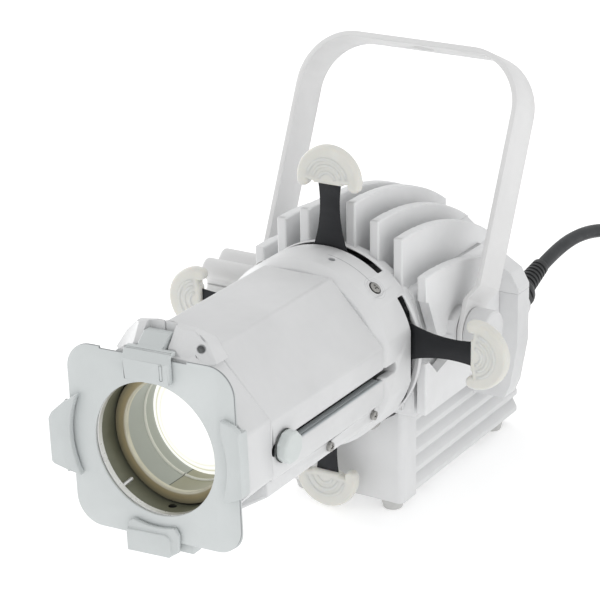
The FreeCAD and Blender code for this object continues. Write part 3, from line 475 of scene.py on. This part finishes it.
def lens_tube_paint(name):
    """Warm grey paint inside the tube that darkens deeper in as painted shade, black outside it, a
    bare metal mouth, and a vent hole painted near-black as painted shade.
    """
    s = Shader(name)
    radius = s.from_line(AXIS_AT, BACK)
    wall = s.noise(50, 4)
    inner = s.blend(s.span(wall, 0.35, 0.65, 0, 1), (0.145, 0.150, 0.105), (0.205, 0.21, 0.155))
    depth = s.beyond(AXIS_AT, BACK)
    # Painted shade: the inside darkens deeper into the tube.
    inner = s.blend(s.span(depth, 9.0, 16.0, 0, 0.35), inner, (0.10, 0.10, 0.075))
    inner = s.blend(s.span(depth, 5.6, 5.9, 1, 0), inner, (0.70, 0.71, 0.70))
    inner = s.blend(s.band(depth, 5.6, 6.0, 0.15), inner, (0.02, 0.02, 0.02))
    # Painted shade: a near-black spot for the vent hole at the bottom of the tube.
    vent = s.math("MULTIPLY", s.span(s.from_line(at(0, 12.4, 0), out_at(-90.5)), 1.7, 2.0, 1, 0),
                  s.span(s.beyond(AXIS_AT, UP), -20, -19, 1, 0))
    inner = s.blend(vent, inner, (0.008, 0.008, 0.008))
    tone = s.blend(s.span(radius, 32.1, 32.3, 0, 1), inner, (0.012, 0.012, 0.013))
    s.set(Base_Color=tone, Metallic=0.15, Roughness=s.span(wall, 0.3, 0.7, 0.32, 0.5))
    drawn = s.noise(3, 4, 0.6, s.stretched((40, 600, 40)))
    s.relief((s.noise(900, 2), 0.12, 0.00006), (drawn, 0.08, 0.00006))
    return s.material


def lens_ring_finish(name):
    """Olive-bronze ring that pales to cream at its inner lip, turned in fine grooves."""
    s = Shader(name)
    share = s.math("DIVIDE", s.from_line(AXIS_AT, BACK), 31.0)
    stain = s.noise(60, 4)
    tone = s.steps(share, [(0.0, (0.72, 0.69, 0.56)), (0.845, (0.72, 0.69, 0.56)),
                           (0.862, (0.50, 0.43, 0.27)), (0.90, (0.42, 0.35, 0.20)),
                           (0.945, (0.27, 0.235, 0.14)), (1.0, (0.12, 0.11, 0.075))])
    tone = s.blend(s.span(stain, 0.4, 0.7, 0, 0.2), tone, (0.20, 0.17, 0.10))
    s.set(Base_Color=tone, Metallic=0.35, Roughness=s.span(stain, 0.3, 0.7, 0.38, 0.55))
    grooves = s.math("SINE", s.math("MULTIPLY", share, 260.0))
    s.relief((grooves, 0.10, 0.00006), (s.noise(900, 2), 0.08, 0.00005))
    return s.material


def carriage_marks(s, tone):
    """Joint across the sliding tube, with the darker olive length that follows it."""
    slant = math.radians(103)
    across = s.beyond(AXIS_AT, (math.sin(slant), 0, math.cos(slant)))
    below = s.span(s.beyond(AXIS_AT, UP), -12, -11, 1, 0)
    joint = s.math("MULTIPLY", s.band(across, -0.18, 0.18, 0.12), below)
    later = s.math("MULTIPLY", s.span(across, 0.1, 0.4, 0, 0.7), below)
    tone = s.blend(later, tone, (0.36, 0.335, 0.20))
    rib = s.band(s.beyond(AXIS_AT, BACK), 29.8, 31.4, 0.1)
    tone = s.blend(rib, tone, (0.78, 0.78, 0.71))
    tone = s.blend(s.math("MULTIPLY", joint, 0.85), tone, (0.05, 0.05, 0.04))
    return tone, ((joint, -0.5, 0.0004),)


def lit_lens(name, radius):
    """Glass with the lamp burning behind it: white middle, and near the rim cream and grey rings
    painted into the glow as reflections of the lens's edges.
    """
    s = Shader(name)
    share = s.math("DIVIDE", s.from_line(AXIS_AT, BACK), radius)
    white = (1.0, 1.0, 0.985)
    cream = (0.78, 0.765, 0.62)
    # Painted reflection: the cream and grey rings near the rim.
    glow = s.steps(share, [(0.0, (1, 1, 1)), (0.79, white), (0.805, (0.86, 0.85, 0.74)),
                           (0.825, (0.90, 0.885, 0.79)), (0.84, white), (0.885, white),
                           (0.90, cream), (0.925, (0.62, 0.61, 0.47)), (0.94, white),
                           (1.0, (0.96, 0.96, 0.92))])
    haze = s.noise(90, 4)
    s.set(Base_Color=s.blend(s.span(haze, 0.3, 0.7, 0, 1), (0.26, 0.27, 0.25), (0.32, 0.33, 0.31)),
          Roughness=s.span(s.noise(200, 3), 0.3, 0.7, 0.03, 0.09), Emission_Color=glow,
          Emission_Strength=0.93, Coat_Weight=0.4)
    ripple = s.math("SINE", s.math("MULTIPLY", share, 70.0))
    s.relief((ripple, 0.06, 0.0001), (haze, 0.02, 0.0002))
    return s.material


WHITE = (0.715, 0.72, 0.725)
M = {
    "housing": powder_coat("white_powder_coat", (0.745, 0.75, 0.755)),
    "fins": powder_coat("white_fin_coat", (0.80, 0.805, 0.81)),
    "collar": powder_coat("white_collar_coat", WHITE, marks=collar_marks_and_shade),
    "barrel": powder_coat("white_barrel_coat", WHITE, marks=barrel_slot_shade),
    "nose": powder_coat("white_nose_coat", WHITE, marks=hump_hole_shade),
    "ribbed_box": powder_coat("white_box_coat", (0.765, 0.77, 0.775), marks=rib_marks),
    "yoke": powder_coat("white_sheet_paint", (0.765, 0.765, 0.765), rough=0.38, peel=0.10),
    "frame_plate": powder_coat("pale_plate_paint", (0.595, 0.625, 0.625), rough=0.40, peel=0.10),
    "flat_plate": powder_coat("pale_flat_plate_paint", (0.635, 0.665, 0.665), rough=0.40, peel=0.10,
                              marks=plate_edge_shade),
    "black_sheet": rolled_steel("blackened_blade_sheet", (0.022, 0.023, 0.026), rough=0.40,
                                metallic=0.55),
    "grip": silicone("cream_silicone", (0.73, 0.725, 0.68)),
    "steel": rolled_steel("zinc_plated_screw", (0.38, 0.375, 0.36), rough=0.30,
                          grain=(300.0, 300.0, 300.0)),
    "silver": rolled_steel("silver_trim", (0.72, 0.72, 0.71), rough=0.30, grain=(60.0, 60.0, 60.0),
                           metallic=0.7),
    "tube_liner": lens_tube_paint("lens_tube_paint"),
    "carriage": powder_coat("pale_carriage_paint", (0.48, 0.505, 0.455), rough=0.44, peel=0.12,
                            marks=carriage_marks),
    "bronze_ring": lens_ring_finish("bronze_lens_ring"),
    "glass": lit_lens("lit_lens_glass", 26.0),
    "knob": moulded("pale_knob_plastic", (0.66, 0.70, 0.69), rough=0.36),
    "rubber": moulded("pale_foot_rubber", (0.60, 0.60, 0.59), rough=0.62, grain=0.3, gloss=0.3),
    "black_plastic": moulded("black_moulded_plastic", (0.025, 0.026, 0.028), rough=0.42),
    "cable": cable_sheath("black_cable_sheath"),
    "circuit_board": moulded("green_circuit_board", (0.03, 0.16, 0.07), rough=0.35),
    "windings": moulded("wound_transformer", (0.36, 0.22, 0.05), rough=0.5),
    "can": rolled_steel("capacitor_can", (0.55, 0.56, 0.57), rough=0.3),
    "led": moulded("warm_led_dome", (0.85, 0.74, 0.32), rough=0.3),
    "reflector": rolled_steel("bright_reflector", (0.80, 0.80, 0.80), rough=0.14),
    "pin_metal": rolled_steel("nickel_plug_pin", (0.66, 0.64, 0.58), rough=0.22),
}

# ---- rounded pieces -----------------------------------------------------------------------

# Opposite corners of the ledge under the focus slot, between the barrel's wall and the tube.
SLOT_FLOOR = ((38.6, 26.0, -3.6), (42.6, 117.0, -2.5))

# Web that closes each lower front corner of the barrel, as (x, z), and its span along y.
BARREL_CORNER = ((17.2, -35.6), (41.0, -21.2), (41.0, -14.8), (30.5, -14.8))
BARREL_CORNER_Y = (22.05, 24.9)

# Thin disc between the focus knob and the barrel, as (radius, distance outwards).
KNOB_DISC_AT = at(45.0, 30.7, 0)
KNOB_DISC = ((7.2, 0), (7.4, 0.2), (7.4, 0.5), (7.2, 0.7))

WELD = 4e-5
FLAT_WITHIN = math.radians(0.8)
CORNER_ANGLE = math.radians(28)
UNBEVELLED_SHARP = math.radians(38)


def new_piece(name, mesh, body, slot, *nodes):
    """A piece on its body, with its finish, that replaces these CAD nodes."""
    piece = bpy.data.objects.new(name, mesh)
    COLLECTION.objects.link(piece)
    mesh.materials.append(M[slot])
    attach(piece, body)
    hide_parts(*nodes)
    return piece


def even_shading(piece, sharp):
    """Keeps flat faces flat beside edges sharper than this angle."""
    piece.data.set_sharp_from_angle(angle=sharp)
    even = piece.modifiers.new("even_shading", "WEIGHTED_NORMAL")
    even.keep_sharp = True


def block(form, low, high):
    """Adds a box between two corners given in millimetres off the optical axis."""
    made = bmesh.ops.create_cube(form, size=1)["verts"]
    low, high = at(*low), at(*high)
    for vert in made:
        vert.co = Vector(high[n] if vert.co[n] > 0 else low[n] for n in range(3))


def prism(form, outline, low, high):
    """Adds a plate across the optical axis. outline is (x, z) corners in millimetres."""
    front = [form.verts.new(at(x, low, z)) for x, z in outline]
    rear = [form.verts.new(at(x, high, z)) for x, z in outline]
    faces = [form.faces.new(front), form.faces.new(rear[::-1])]
    for n in range(len(outline)):
        faces.append(form.faces.new((front[n - 1], front[n], rear[n], rear[n - 1])))
    bmesh.ops.recalc_face_normals(form, faces=faces)


def smooth_mesh(form, name):
    """A bmesh turned into a smooth-shaded mesh."""
    mesh = bpy.data.meshes.new(name)
    form.to_mesh(mesh)
    form.free()
    for face in mesh.polygons:
        face.use_smooth = True
    return mesh


def rounded(node, slot, width):
    """A node's shape with flat faces cleaned up and its corners rounded by width millimetres."""
    form = bmesh.new()
    form.from_mesh(frame["nodes"][node].data)
    bmesh.ops.remove_doubles(form, verts=form.verts, dist=WELD)
    bmesh.ops.dissolve_limit(form, angle_limit=FLAT_WITHIN, verts=form.verts, edges=form.edges)
    if node == "barrel_upper":
        block(form, *SLOT_FLOOR)
    if node == "barrel_lower":
        for side in (-1, 1):
            prism(form, [(side * x, z) for x, z in BARREL_CORNER], *BARREL_CORNER_Y)
    if node == "focus_knob":
        lathe(form, KNOB_DISC_AT, RIGHT, KNOB_DISC, 40)
    piece = new_piece(node + "_form", smooth_mesh(form, node + "_form"), BODY_OF[node], slot, node)
    if not width:
        even_shading(piece, UNBEVELLED_SHARP)
        return
    bevel = piece.modifiers.new("corners", "BEVEL")
    bevel.width = width / 1000
    bevel.segments = 2
    bevel.limit_method = "ANGLE"
    bevel.angle_limit = CORNER_ANGLE
    bevel.harden_normals = True
    bevel.use_clamp_overlap = False
    bevel.miter_outer = "MITER_ARC"


def inset(outline, depth):
    """Closed outline, drawn anticlockwise, moved inwards by depth with its corners kept."""
    moved = []
    for n, here in enumerate(outline):
        arriving = (here - outline[n - 1]).normalized()
        leaving = (outline[(n + 1) % len(outline)] - here).normalized()
        first = Vector((-arriving.y, arriving.x))
        second = Vector((-leaving.y, leaving.x))
        moved.append(here + (first + second) * depth / max(0.5, 1 + first.dot(second)))
    return moved


def slab(form, outline, low, high, rim, place, steps):
    """Adds a flat block with rounded rims. place turns across, along and height into a point."""
    quarter = [math.pi / 2 * n / steps for n in range(steps + 1)]
    levels = [(rim * (1 - math.sin(a)), low + rim * (1 - math.cos(a))) for a in quarter]
    levels += [(rim * (1 - math.cos(a)), high - rim * (1 - math.sin(a))) for a in quarter]
    rings = [[form.verts.new(place(p.x, p.y, height)) for p in inset(outline, depth)]
             for depth, height in levels]
    count = len(outline)
    for lower, upper in zip(rings, rings[1:]):
        for n in range(count):
            form.faces.new((lower[n - 1], lower[n], upper[n], upper[n - 1]))
    form.faces.new(rings[0][::-1])
    form.faces.new(rings[-1])


def arc(centre, radius, first, last, count):
    """Points in degrees from first to last along a circle, both ends included."""
    angles = [math.radians(first + (last - first) * n / (count - 1)) for n in range(count)]
    return [Vector((centre[0] + radius * math.cos(a), centre[1] + radius * math.sin(a)))
            for a in angles]


def finish_form(form, name, body, slot, *nodes, sharp=32.0):
    """Turns a bmesh into a smooth-shaded piece whose flat faces stay flat."""
    bmesh.ops.remove_doubles(form, verts=form.verts, dist=1e-6)
    bmesh.ops.recalc_face_normals(form, faces=form.faces)
    piece = new_piece(name, smooth_mesh(form, name), body, slot, *nodes)
    even_shading(piece, math.radians(sharp))
    return piece


def ridge(form, radius, first, last, width, height, place, count=36):
    """Adds a low rounded rib along an arc round the origin, fading out at both ends."""
    across = [-0.5, -0.38, -0.2, 0.0, 0.2, 0.38, 0.5]
    lift = [-0.35, 0.45, 0.88, 1.0, 0.88, 0.45, -0.35]
    rows = []
    for n in range(count):
        share = n / (count - 1)
        fade = math.sin(math.pi * min(1, max(0, min(share, 1 - share) / 0.16)) / 2)
        angle = math.radians(first + (last - first) * share)
        out = Vector((math.cos(angle), math.sin(angle)))
        row = []
        for step, rise in zip(across, lift):
            spot = out * (radius + step * width)
            lifted = height * (rise * fade - 0.3 * (1 - fade))
            row.append(form.verts.new(place(spot.x, spot.y, lifted)))
        rows.append(row)
    for before, after in zip(rows, rows[1:]):
        for n in range(len(across)):
            form.faces.new((before[n - 1], before[n], after[n], after[n - 1]))
    form.faces.new(rows[0])
    form.faces.new(rows[-1][::-1])


# ---- shutter handles ----------------------------------------------------------------------

GRIP_R = 16.5
GRIP_HALF = 2.75
GRIP_RIM = 1.7
GRIP_RIBS = (4.2, 7.3, 10.4)
GRIP_SIDES = {"top": (0, 1), "right": (1, 0), "bottom": (0, -1), "left": (-1, 0)}


def grip_outline():
    """Half-moon with a straight lip for the blade and an end hooked back at each side."""
    lip = [Vector((-7.2, -1.8)), Vector((7.2, -1.8)), Vector((8.0, -1.0))]
    right = arc((13.4, -1.2), 3.0, 170, 340, 12)
    moon = arc((0, 0), GRIP_R, 4, 176, 48)
    left = arc((-13.4, -1.2), 3.0, 200, 370, 12)
    return lip + right + moon + left + [Vector((-8.0, -1.0))]


def make_grip(side):
    """Moulded silicone handle with rounded rims and shallow ribs round the end of its blade."""
    node = "shutter_grip_" + side
    low, high = (corner * 1000 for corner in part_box(node))
    out_x, out_z = GRIP_SIDES[side]
    hub = (low + high) / 2
    if out_x:
        hub.x = high.x - GRIP_R if out_x > 0 else low.x + GRIP_R
    else:
        hub.z = high.z - GRIP_R if out_z > 0 else low.z + GRIP_R
    outward = Vector((out_x, 0, out_z))
    across = Vector((out_z, 0, -out_x))

    def place(u, w, h):
        """Point u across the grip, w outwards and h through its thickness."""
        return (hub + across * u + outward * w + Vector((0, h, 0))) / 1000

    form = bmesh.new()
    slab(form, grip_outline(), -GRIP_HALF, GRIP_HALF, GRIP_RIM, place, 6)
    for face in (-1, 1):
        for radius in GRIP_RIBS:
            ridge(form, radius, 8, 172, 1.9, 0.42,
                  lambda u, w, h, face=face: place(u, w, face * (GRIP_HALF + h)))
    finish_form(form, node + "_moulded", BODY_OF[node], "grip", node)


# ---- turned pieces and screws -------------------------------------------------------------


def lathe(form, origin, axis, profile, sides=48, closed=False):
    """Adds a turned shape. profile is (radius, distance along the axis) from end to end."""
    axis = Vector(axis).normalized()
    side = axis.orthogonal().normalized()
    other = axis.cross(side)
    rings = []
    for radius, along in profile:
        ring = []
        for n in range(sides):
            angle = 2 * math.pi * n / sides
            out = side * math.cos(angle) + other * math.sin(angle)
            ring.append(form.verts.new(origin + (axis * along + out * radius) / 1000))
        rings.append(ring)
    if closed:
        rings.append(rings[0])
    else:
        form.faces.new(rings[0][::-1])
        form.faces.new(rings[-1])
    for near, far in zip(rings, rings[1:]):
        for n in range(sides):
            form.faces.new((near[n - 1], near[n], far[n], far[n - 1]))


def cross_outline(reach, half, parts=3):
    """Outline of a cross recess, with parts points to each of its twelve sides."""
    corners = []
    for turn in range(4):
        spin = Matrix.Rotation(turn * math.pi / 2, 2)
        corners += [spin @ Vector(p) for p in ((reach, -half), (reach, half), (half, half))]
    return [corners[n].lerp(corners[(n + 1) % 12], k / parts)
            for n in range(12) for k in range(parts)]


def screw(form, top, inward, head, high, shank, length, spin, dome=0.5, foot=None):
    """Adds a cross-head screw. top is the middle of its head; sizes are in millimetres.

    The head sinks by dome towards its rim. foot is the head's radius underneath it.
    """
    inward = Vector(inward).normalized()
    side = Matrix.Rotation(math.radians(spin), 3, inward) @ inward.orthogonal().normalized()
    other = inward.cross(side)
    cross = cross_outline(0.60 * head, 0.15 * head)

    def ring(points, depth_of):
        """A ring of corners, each sunk by its own depth."""
        return [form.verts.new(top + (side * p.x + other * p.y + inward * depth_of(p)) / 1000)
                for p in points]

    def circle(radius, depth):
        """A level round ring."""
        return ring([p.normalized() * radius for p in cross], lambda p: depth)

    def crown(p):
        """How far the domed head lies below its middle at p."""
        return dome * (p.length / head) ** 2.5

    rings = [ring([p * 0.5 for p in cross], lambda p: crown(p) + 0.40 * head),
             ring([p * 0.93 for p in cross], lambda p: crown(p) + 0.10), ring(cross, crown)]
    rings += [ring([p.normalized() * head * part for p in cross], crown)
              for part in (0.76, 0.88, 0.96)]
    rings += [circle(head, dome + 0.12), circle(foot or head, high), circle(shank, high),
              circle(shank, length)]
    for near, far in zip(rings, rings[1:]):
        for n in range(len(near)):
            form.faces.new((near[n - 1], near[n], far[n], far[n - 1]))
    form.faces.new(rings[0][::-1])
    form.faces.new(rings[-1])


def make_screws():
    """Every screw that shows: collar, barrel seam, rear cover and underside cover."""
    form = bmesh.new()
    for angle, spin in ((47.6, 20), (132.4, 65), (-132.4, 41), (-47.6, 8)):
        out = Vector(out_at(angle))
        screw(form, at(0, COLLAR_SCREW_Y, 0) + out * 0.0472, -out, 2.7, 2.1, 1.6, 9.0, spin)
    finish_form(form, "collar_screw_heads", "head", "steel", "collar_screws", sharp=40)
    form = bmesh.new()
    for side, y, spin in ((-1, 73, 12), (1, 73, 33), (-1, 112, 70), (1, 112, 51)):
        screw(form, at(side * 44.0, y, -18.0), (-side, 0, 0), 2.2, 1.9, 1.3, 6.0, spin, dome=0.4)
    finish_form(form, "barrel_screw_heads", "head", "steel", "barrel_screws", sharp=40)
    form = bmesh.new()
    for x, z, spin in ((-30.0, -30.0, 25), (26.0, -32.0, 60), (-30.0, 9.0, 5), (30.0, 9.0, 80)):
        screw(form, at(x, 258.8, z), (0, -1, 0), 2.8, 2.0, 1.5, 8.8, spin)
    finish_form(form, "cover_screw_heads", "head", "steel", "cover_screws", sharp=40)
    form = bmesh.new()
    for x, y, spin in ((-25.0, 190.0, 10), (25.0, 190.0, 47), (-25.0, 250.0, 76),
                       (25.0, 250.0, 30)):
        screw(form, at(x, y, -84.5), UP, 2.55, 1.2, 1.4, 7.0, spin, dome=0.1, foot=1.45)
    finish_form(form, "box_screw_heads", "head", "steel", "box_screws", sharp=40)


def make_lens_rings():
    """Bright ring in the tube's mouth with its post, and the sliding carriage's two parts."""
    form = bmesh.new()
    trim = ((31.4, 2.0), (31.4, 5.2), (31.0, 5.4), (30.6, 5.2), (30.4, 4.9), (30.4, 2.4),
            (30.7, 2.05))
    lathe(form, AXIS_AT, BACK, trim, 96, closed=True)
    lathe(form, at(-20.8, 5.2, -23.5), (2.3, 4.4, 2.5), ((0.9, -0.3), (0.9, 4.9), (0.6, 5.4)), 20)
    finish_form(form, "trim_ring_turned", BODY_OF["trim_ring"], "silver", "trim_ring")
    form = bmesh.new()
    carriage = ((30.9, 17.9), (30.9, 49.7), (30.6, 50.0), (26.3, 50.0), (26.0, 49.7), (26.0, 42.0),
                (24.0, 42.0), (24.0, 40.0), (26.0, 39.8), (26.0, 31.6), (25.5, 31.2), (25.3, 30.6),
                (25.5, 30.0), (26.0, 29.7), (26.0, 18.4), (26.4, 17.7), (30.6, 17.6))
    lathe(form, AXIS_AT, BACK, carriage, 96, closed=True)
    finish_form(form, "lens_carriage_turned", BODY_OF["lens_carriage"], "carriage", "lens_carriage")
    form = bmesh.new()
    front = ((30.9, 15.7), (30.9, 17.6), (25.4, 17.6), (25.4, 16.1), (25.7, 15.7), (26.3, 15.5),
             (27.4, 15.75), (29.2, 15.5), (30.5, 15.2))
    lathe(form, AXIS_AT, BACK, front, 96, closed=True)
    finish_form(form, "lens_ring_turned", BODY_OF["lens_ring"], "bronze_ring", "lens_ring")


def make_cord_fittings():
    """Hexagon gland nut, ribbed strain relief, and the round plug with its sleeved pins."""
    form = bmesh.new()
    lathe(form, GLAND_AT, GLAND_AXIS, ((6.9, -8.0), (6.9, 4.0)), 40)
    lathe(form, GLAND_AT, GLAND_AXIS, ((8.1, 4.02), (8.95, 4.7), (8.95, 9.2), (8.1, 9.9)), 6)
    dome = ((7.7, 9.6), (8.3, 9.9), (8.35, 11.2), (7.9, 12.8), (7.1, 14.1), (6.3, 14.8),
            (5.0, 15.0))
    lathe(form, GLAND_AT, GLAND_AXIS, dome, 40)
    finish_form(form, "cable_gland_nut", BODY_OF["cable_gland"], "black_plastic", "cable_gland")
    form = bmesh.new()
    profile = [(5.3, 14.9), (5.6, 15.3)]
    for n in range(6):
        start = 17.0 + n * 2.7
        radius = 5.6 - 0.065 * (start - 15.0)
        profile += [(radius, start), (radius - 0.8, start + 0.25), (radius - 0.8, start + 1.05),
                    (radius - 0.1, start + 1.3)]
    profile += [(4.35, 34.2), (4.1, 34.8), (3.55, 35.0)]
    lathe(form, GLAND_AT, GLAND_AXIS, profile, 40)
    relief = finish_form(form, "strain_relief_ribbed", BODY_OF["strain_relief"], "black_plastic",
                         "strain_relief")

    start = tail_points()[-1]
    across = Vector((-TAIL_HEADING.y, TAIL_HEADING.x, 0))
    form = bmesh.new()
    profile = [(3.8, -0.4), (5.2, 0.0), (5.5, 0.6)]
    for n in range(4):
        along = 1.8 + n * 1.9
        radius = 5.6 + 0.16 * along
        profile += [(radius, along), (radius - 0.7, along + 0.2), (radius - 0.7, along + 0.8),
                    (radius, along + 1.0)]
    profile += [(7.2, 10.0), (9.5, 12.6), (13.0, 15.2), (15.6, 17.2), (17.4, 19.6), (18.3, 22.0),
                (18.5, 23.0), (18.5, 40.4), (18.2, 41.2), (17.6, 41.8), (16.8, 42.0), (15.4, 42.0),
                (15.2, 41.6), (14.6, 41.6), (14.4, 42.0)]
    lathe(form, start, TAIL_HEADING, profile, 72)
    grip_rib = ((0.3, 24.5), (0.85, 25.3), (0.85, 35.2), (0.3, 36.0))
    for turn in range(24):
        angle = 2 * math.pi * turn / 24
        out = across * math.cos(angle) + Vector((0, 0, math.sin(angle)))
        lathe(form, start + out * 0.0176, TAIL_HEADING, grip_rib, 10)
    plug = finish_form(form, "plug_body_moulded", BODY_OF["plug_body"], "black_plastic",
                       "plug_body")
    form = bmesh.new()
    pin = ((2.4, 41.5), (2.4, 52.0), (2.3, 52.2), (2.35, 52.4), (2.35, 59.2), (2.1, 60.2),
           (1.4, 60.8), (0.5, 61.0))
    for offset in (-9.5, 9.5):
        lathe(form, start + across * (offset / 1000), TAIL_HEADING, pin, 32)
    pins = finish_form(form, "plug_pins_turned", BODY_OF["plug_pins"], "pin_metal", "plug_pins")
    return [relief, plug, pins]


# Node, finish, and how much its corners are rounded in millimetres.
ROUNDED = (
    ("nose_ring", "nose", 0.35), ("frame_holder", "frame_plate", 0.5),
    ("colour_frame", "flat_plate", 0.3), ("frame_clip", "frame_plate", 0.4),
    ("barrel_upper", "barrel", 0.9), ("barrel_lower", "housing", 0.9), ("collar", "collar", 0.5),
    ("heat_sink", "fins", 0.0), ("rear_cover_upper", "housing", 0.35),
    ("rear_cover_lower", "housing", 0.35), ("driver_box", "ribbed_box", 0.4),
    ("driver_box_cover", "housing", 0.4), ("rubber_feet", "rubber", 0.5), ("yoke", "yoke", 0.4),
    ("tilt_cap", "housing", 0.5), ("tilt_knob", "yoke", 1.0), ("focus_knob", "knob", 0.45),
    ("shutter_blade_top", "black_sheet", 0.1), ("shutter_blade_right", "black_sheet", 0.1),
    ("shutter_blade_bottom", "black_sheet", 0.1), ("shutter_blade_left", "black_sheet", 0.1),
)
# Nodes that show as they are, and their finish.
PAINTED = {
    "clip_pin": "steel", "lens_tube": "tube_liner", "shutter_guide": "black_sheet",
    "gate_plate": "black_sheet", "lens": "glass", "focus_stem": "steel",
    "led_board": "circuit_board", "led_emitter": "led", "reflector": "reflector",
    "driver_board": "circuit_board", "driver_transformer": "windings", "driver_capacitors": "can",
    "friction_washers": "black_plastic", "tilt_bolt_left": "steel", "tilt_bolt_right": "steel",
}

for node, slot, width in ROUNDED:
    rounded(node, slot, width)

for node, slot in PAINTED.items():
    materials = frame["nodes"][node].data.materials
    materials.clear()
    materials.append(M[slot])

for side in GRIP_SIDES:
    make_grip(side)

make_lens_rings()
make_screws()
cord_pieces = make_cord_fittings()

cord.data.materials.append(M["cable"])
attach(cord, "head")
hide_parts("mains_cable", "cable_coil", "cable_tail")

# ---- floor and light ----------------------------------------------------------------------


FLOOR_HALF = 9
FLOOR_GLOW = 0.34
WORLD_STRENGTH = 0.87


def make_stage():
    """Pale floor that fades into the world's white."""
    mesh = bpy.data.meshes.new("studio_floor")
    form = bmesh.new()
    bmesh.ops.create_grid(form, x_segments=2, y_segments=2, size=FLOOR_HALF)
    form.to_mesh(mesh)
    form.free()
    floor = bpy.data.objects.new("studio_floor", mesh)
    COLLECTION.objects.link(floor)
    s = Shader("pale_floor")
    s.set(Base_Color=s.blend(s.noise(3, 3), (0.88, 0.88, 0.88), (0.90, 0.90, 0.90)), Roughness=0.8,
          Specular_IOR_Level=0.1, Emission_Color=(1.0, 1.0, 1.0, 1.0), Emission_Strength=FLOOR_GLOW)
    mesh.materials.append(s.material)


def softbox(name, place, aim, size, power):
    """Rectangular light of size in metres at place, turned to aim, with power in watts."""
    light = bpy.data.lights.new(name, "AREA")
    light.shape = "RECTANGLE"
    light.size, light.size_y = size
    light.energy = power
    lamp = bpy.data.objects.new(name, light)
    lamp.location = place
    lamp.rotation_euler = (Vector(aim) - Vector(place)).to_track_quat("-Z", "Y").to_euler()
    COLLECTION.objects.link(lamp)


def make_light():
    """White world with a softbox at each side, the left one stronger."""
    world = bpy.data.worlds.new("studio")
    world.use_nodes = True
    background = world.node_tree.nodes["Background"]
    background.inputs["Color"].default_value = (1.0, 1.0, 1.0, 1.0)
    background.inputs["Strength"].default_value = WORLD_STRENGTH
    bpy.context.scene.world = world
    softbox("left_light", (-2.2, 0.5, 0.55), (0, 0, 0.12), (1.2, 0.7), 15)
    softbox("right_light", (2.2, -0.5, 0.75), (0, 0, 0.1), (1.4, 0.9), 2.5)


make_stage()
make_light()
bpy.context.scene.view_settings.view_transform = "Standard"

bpy.context.view_layer.update()
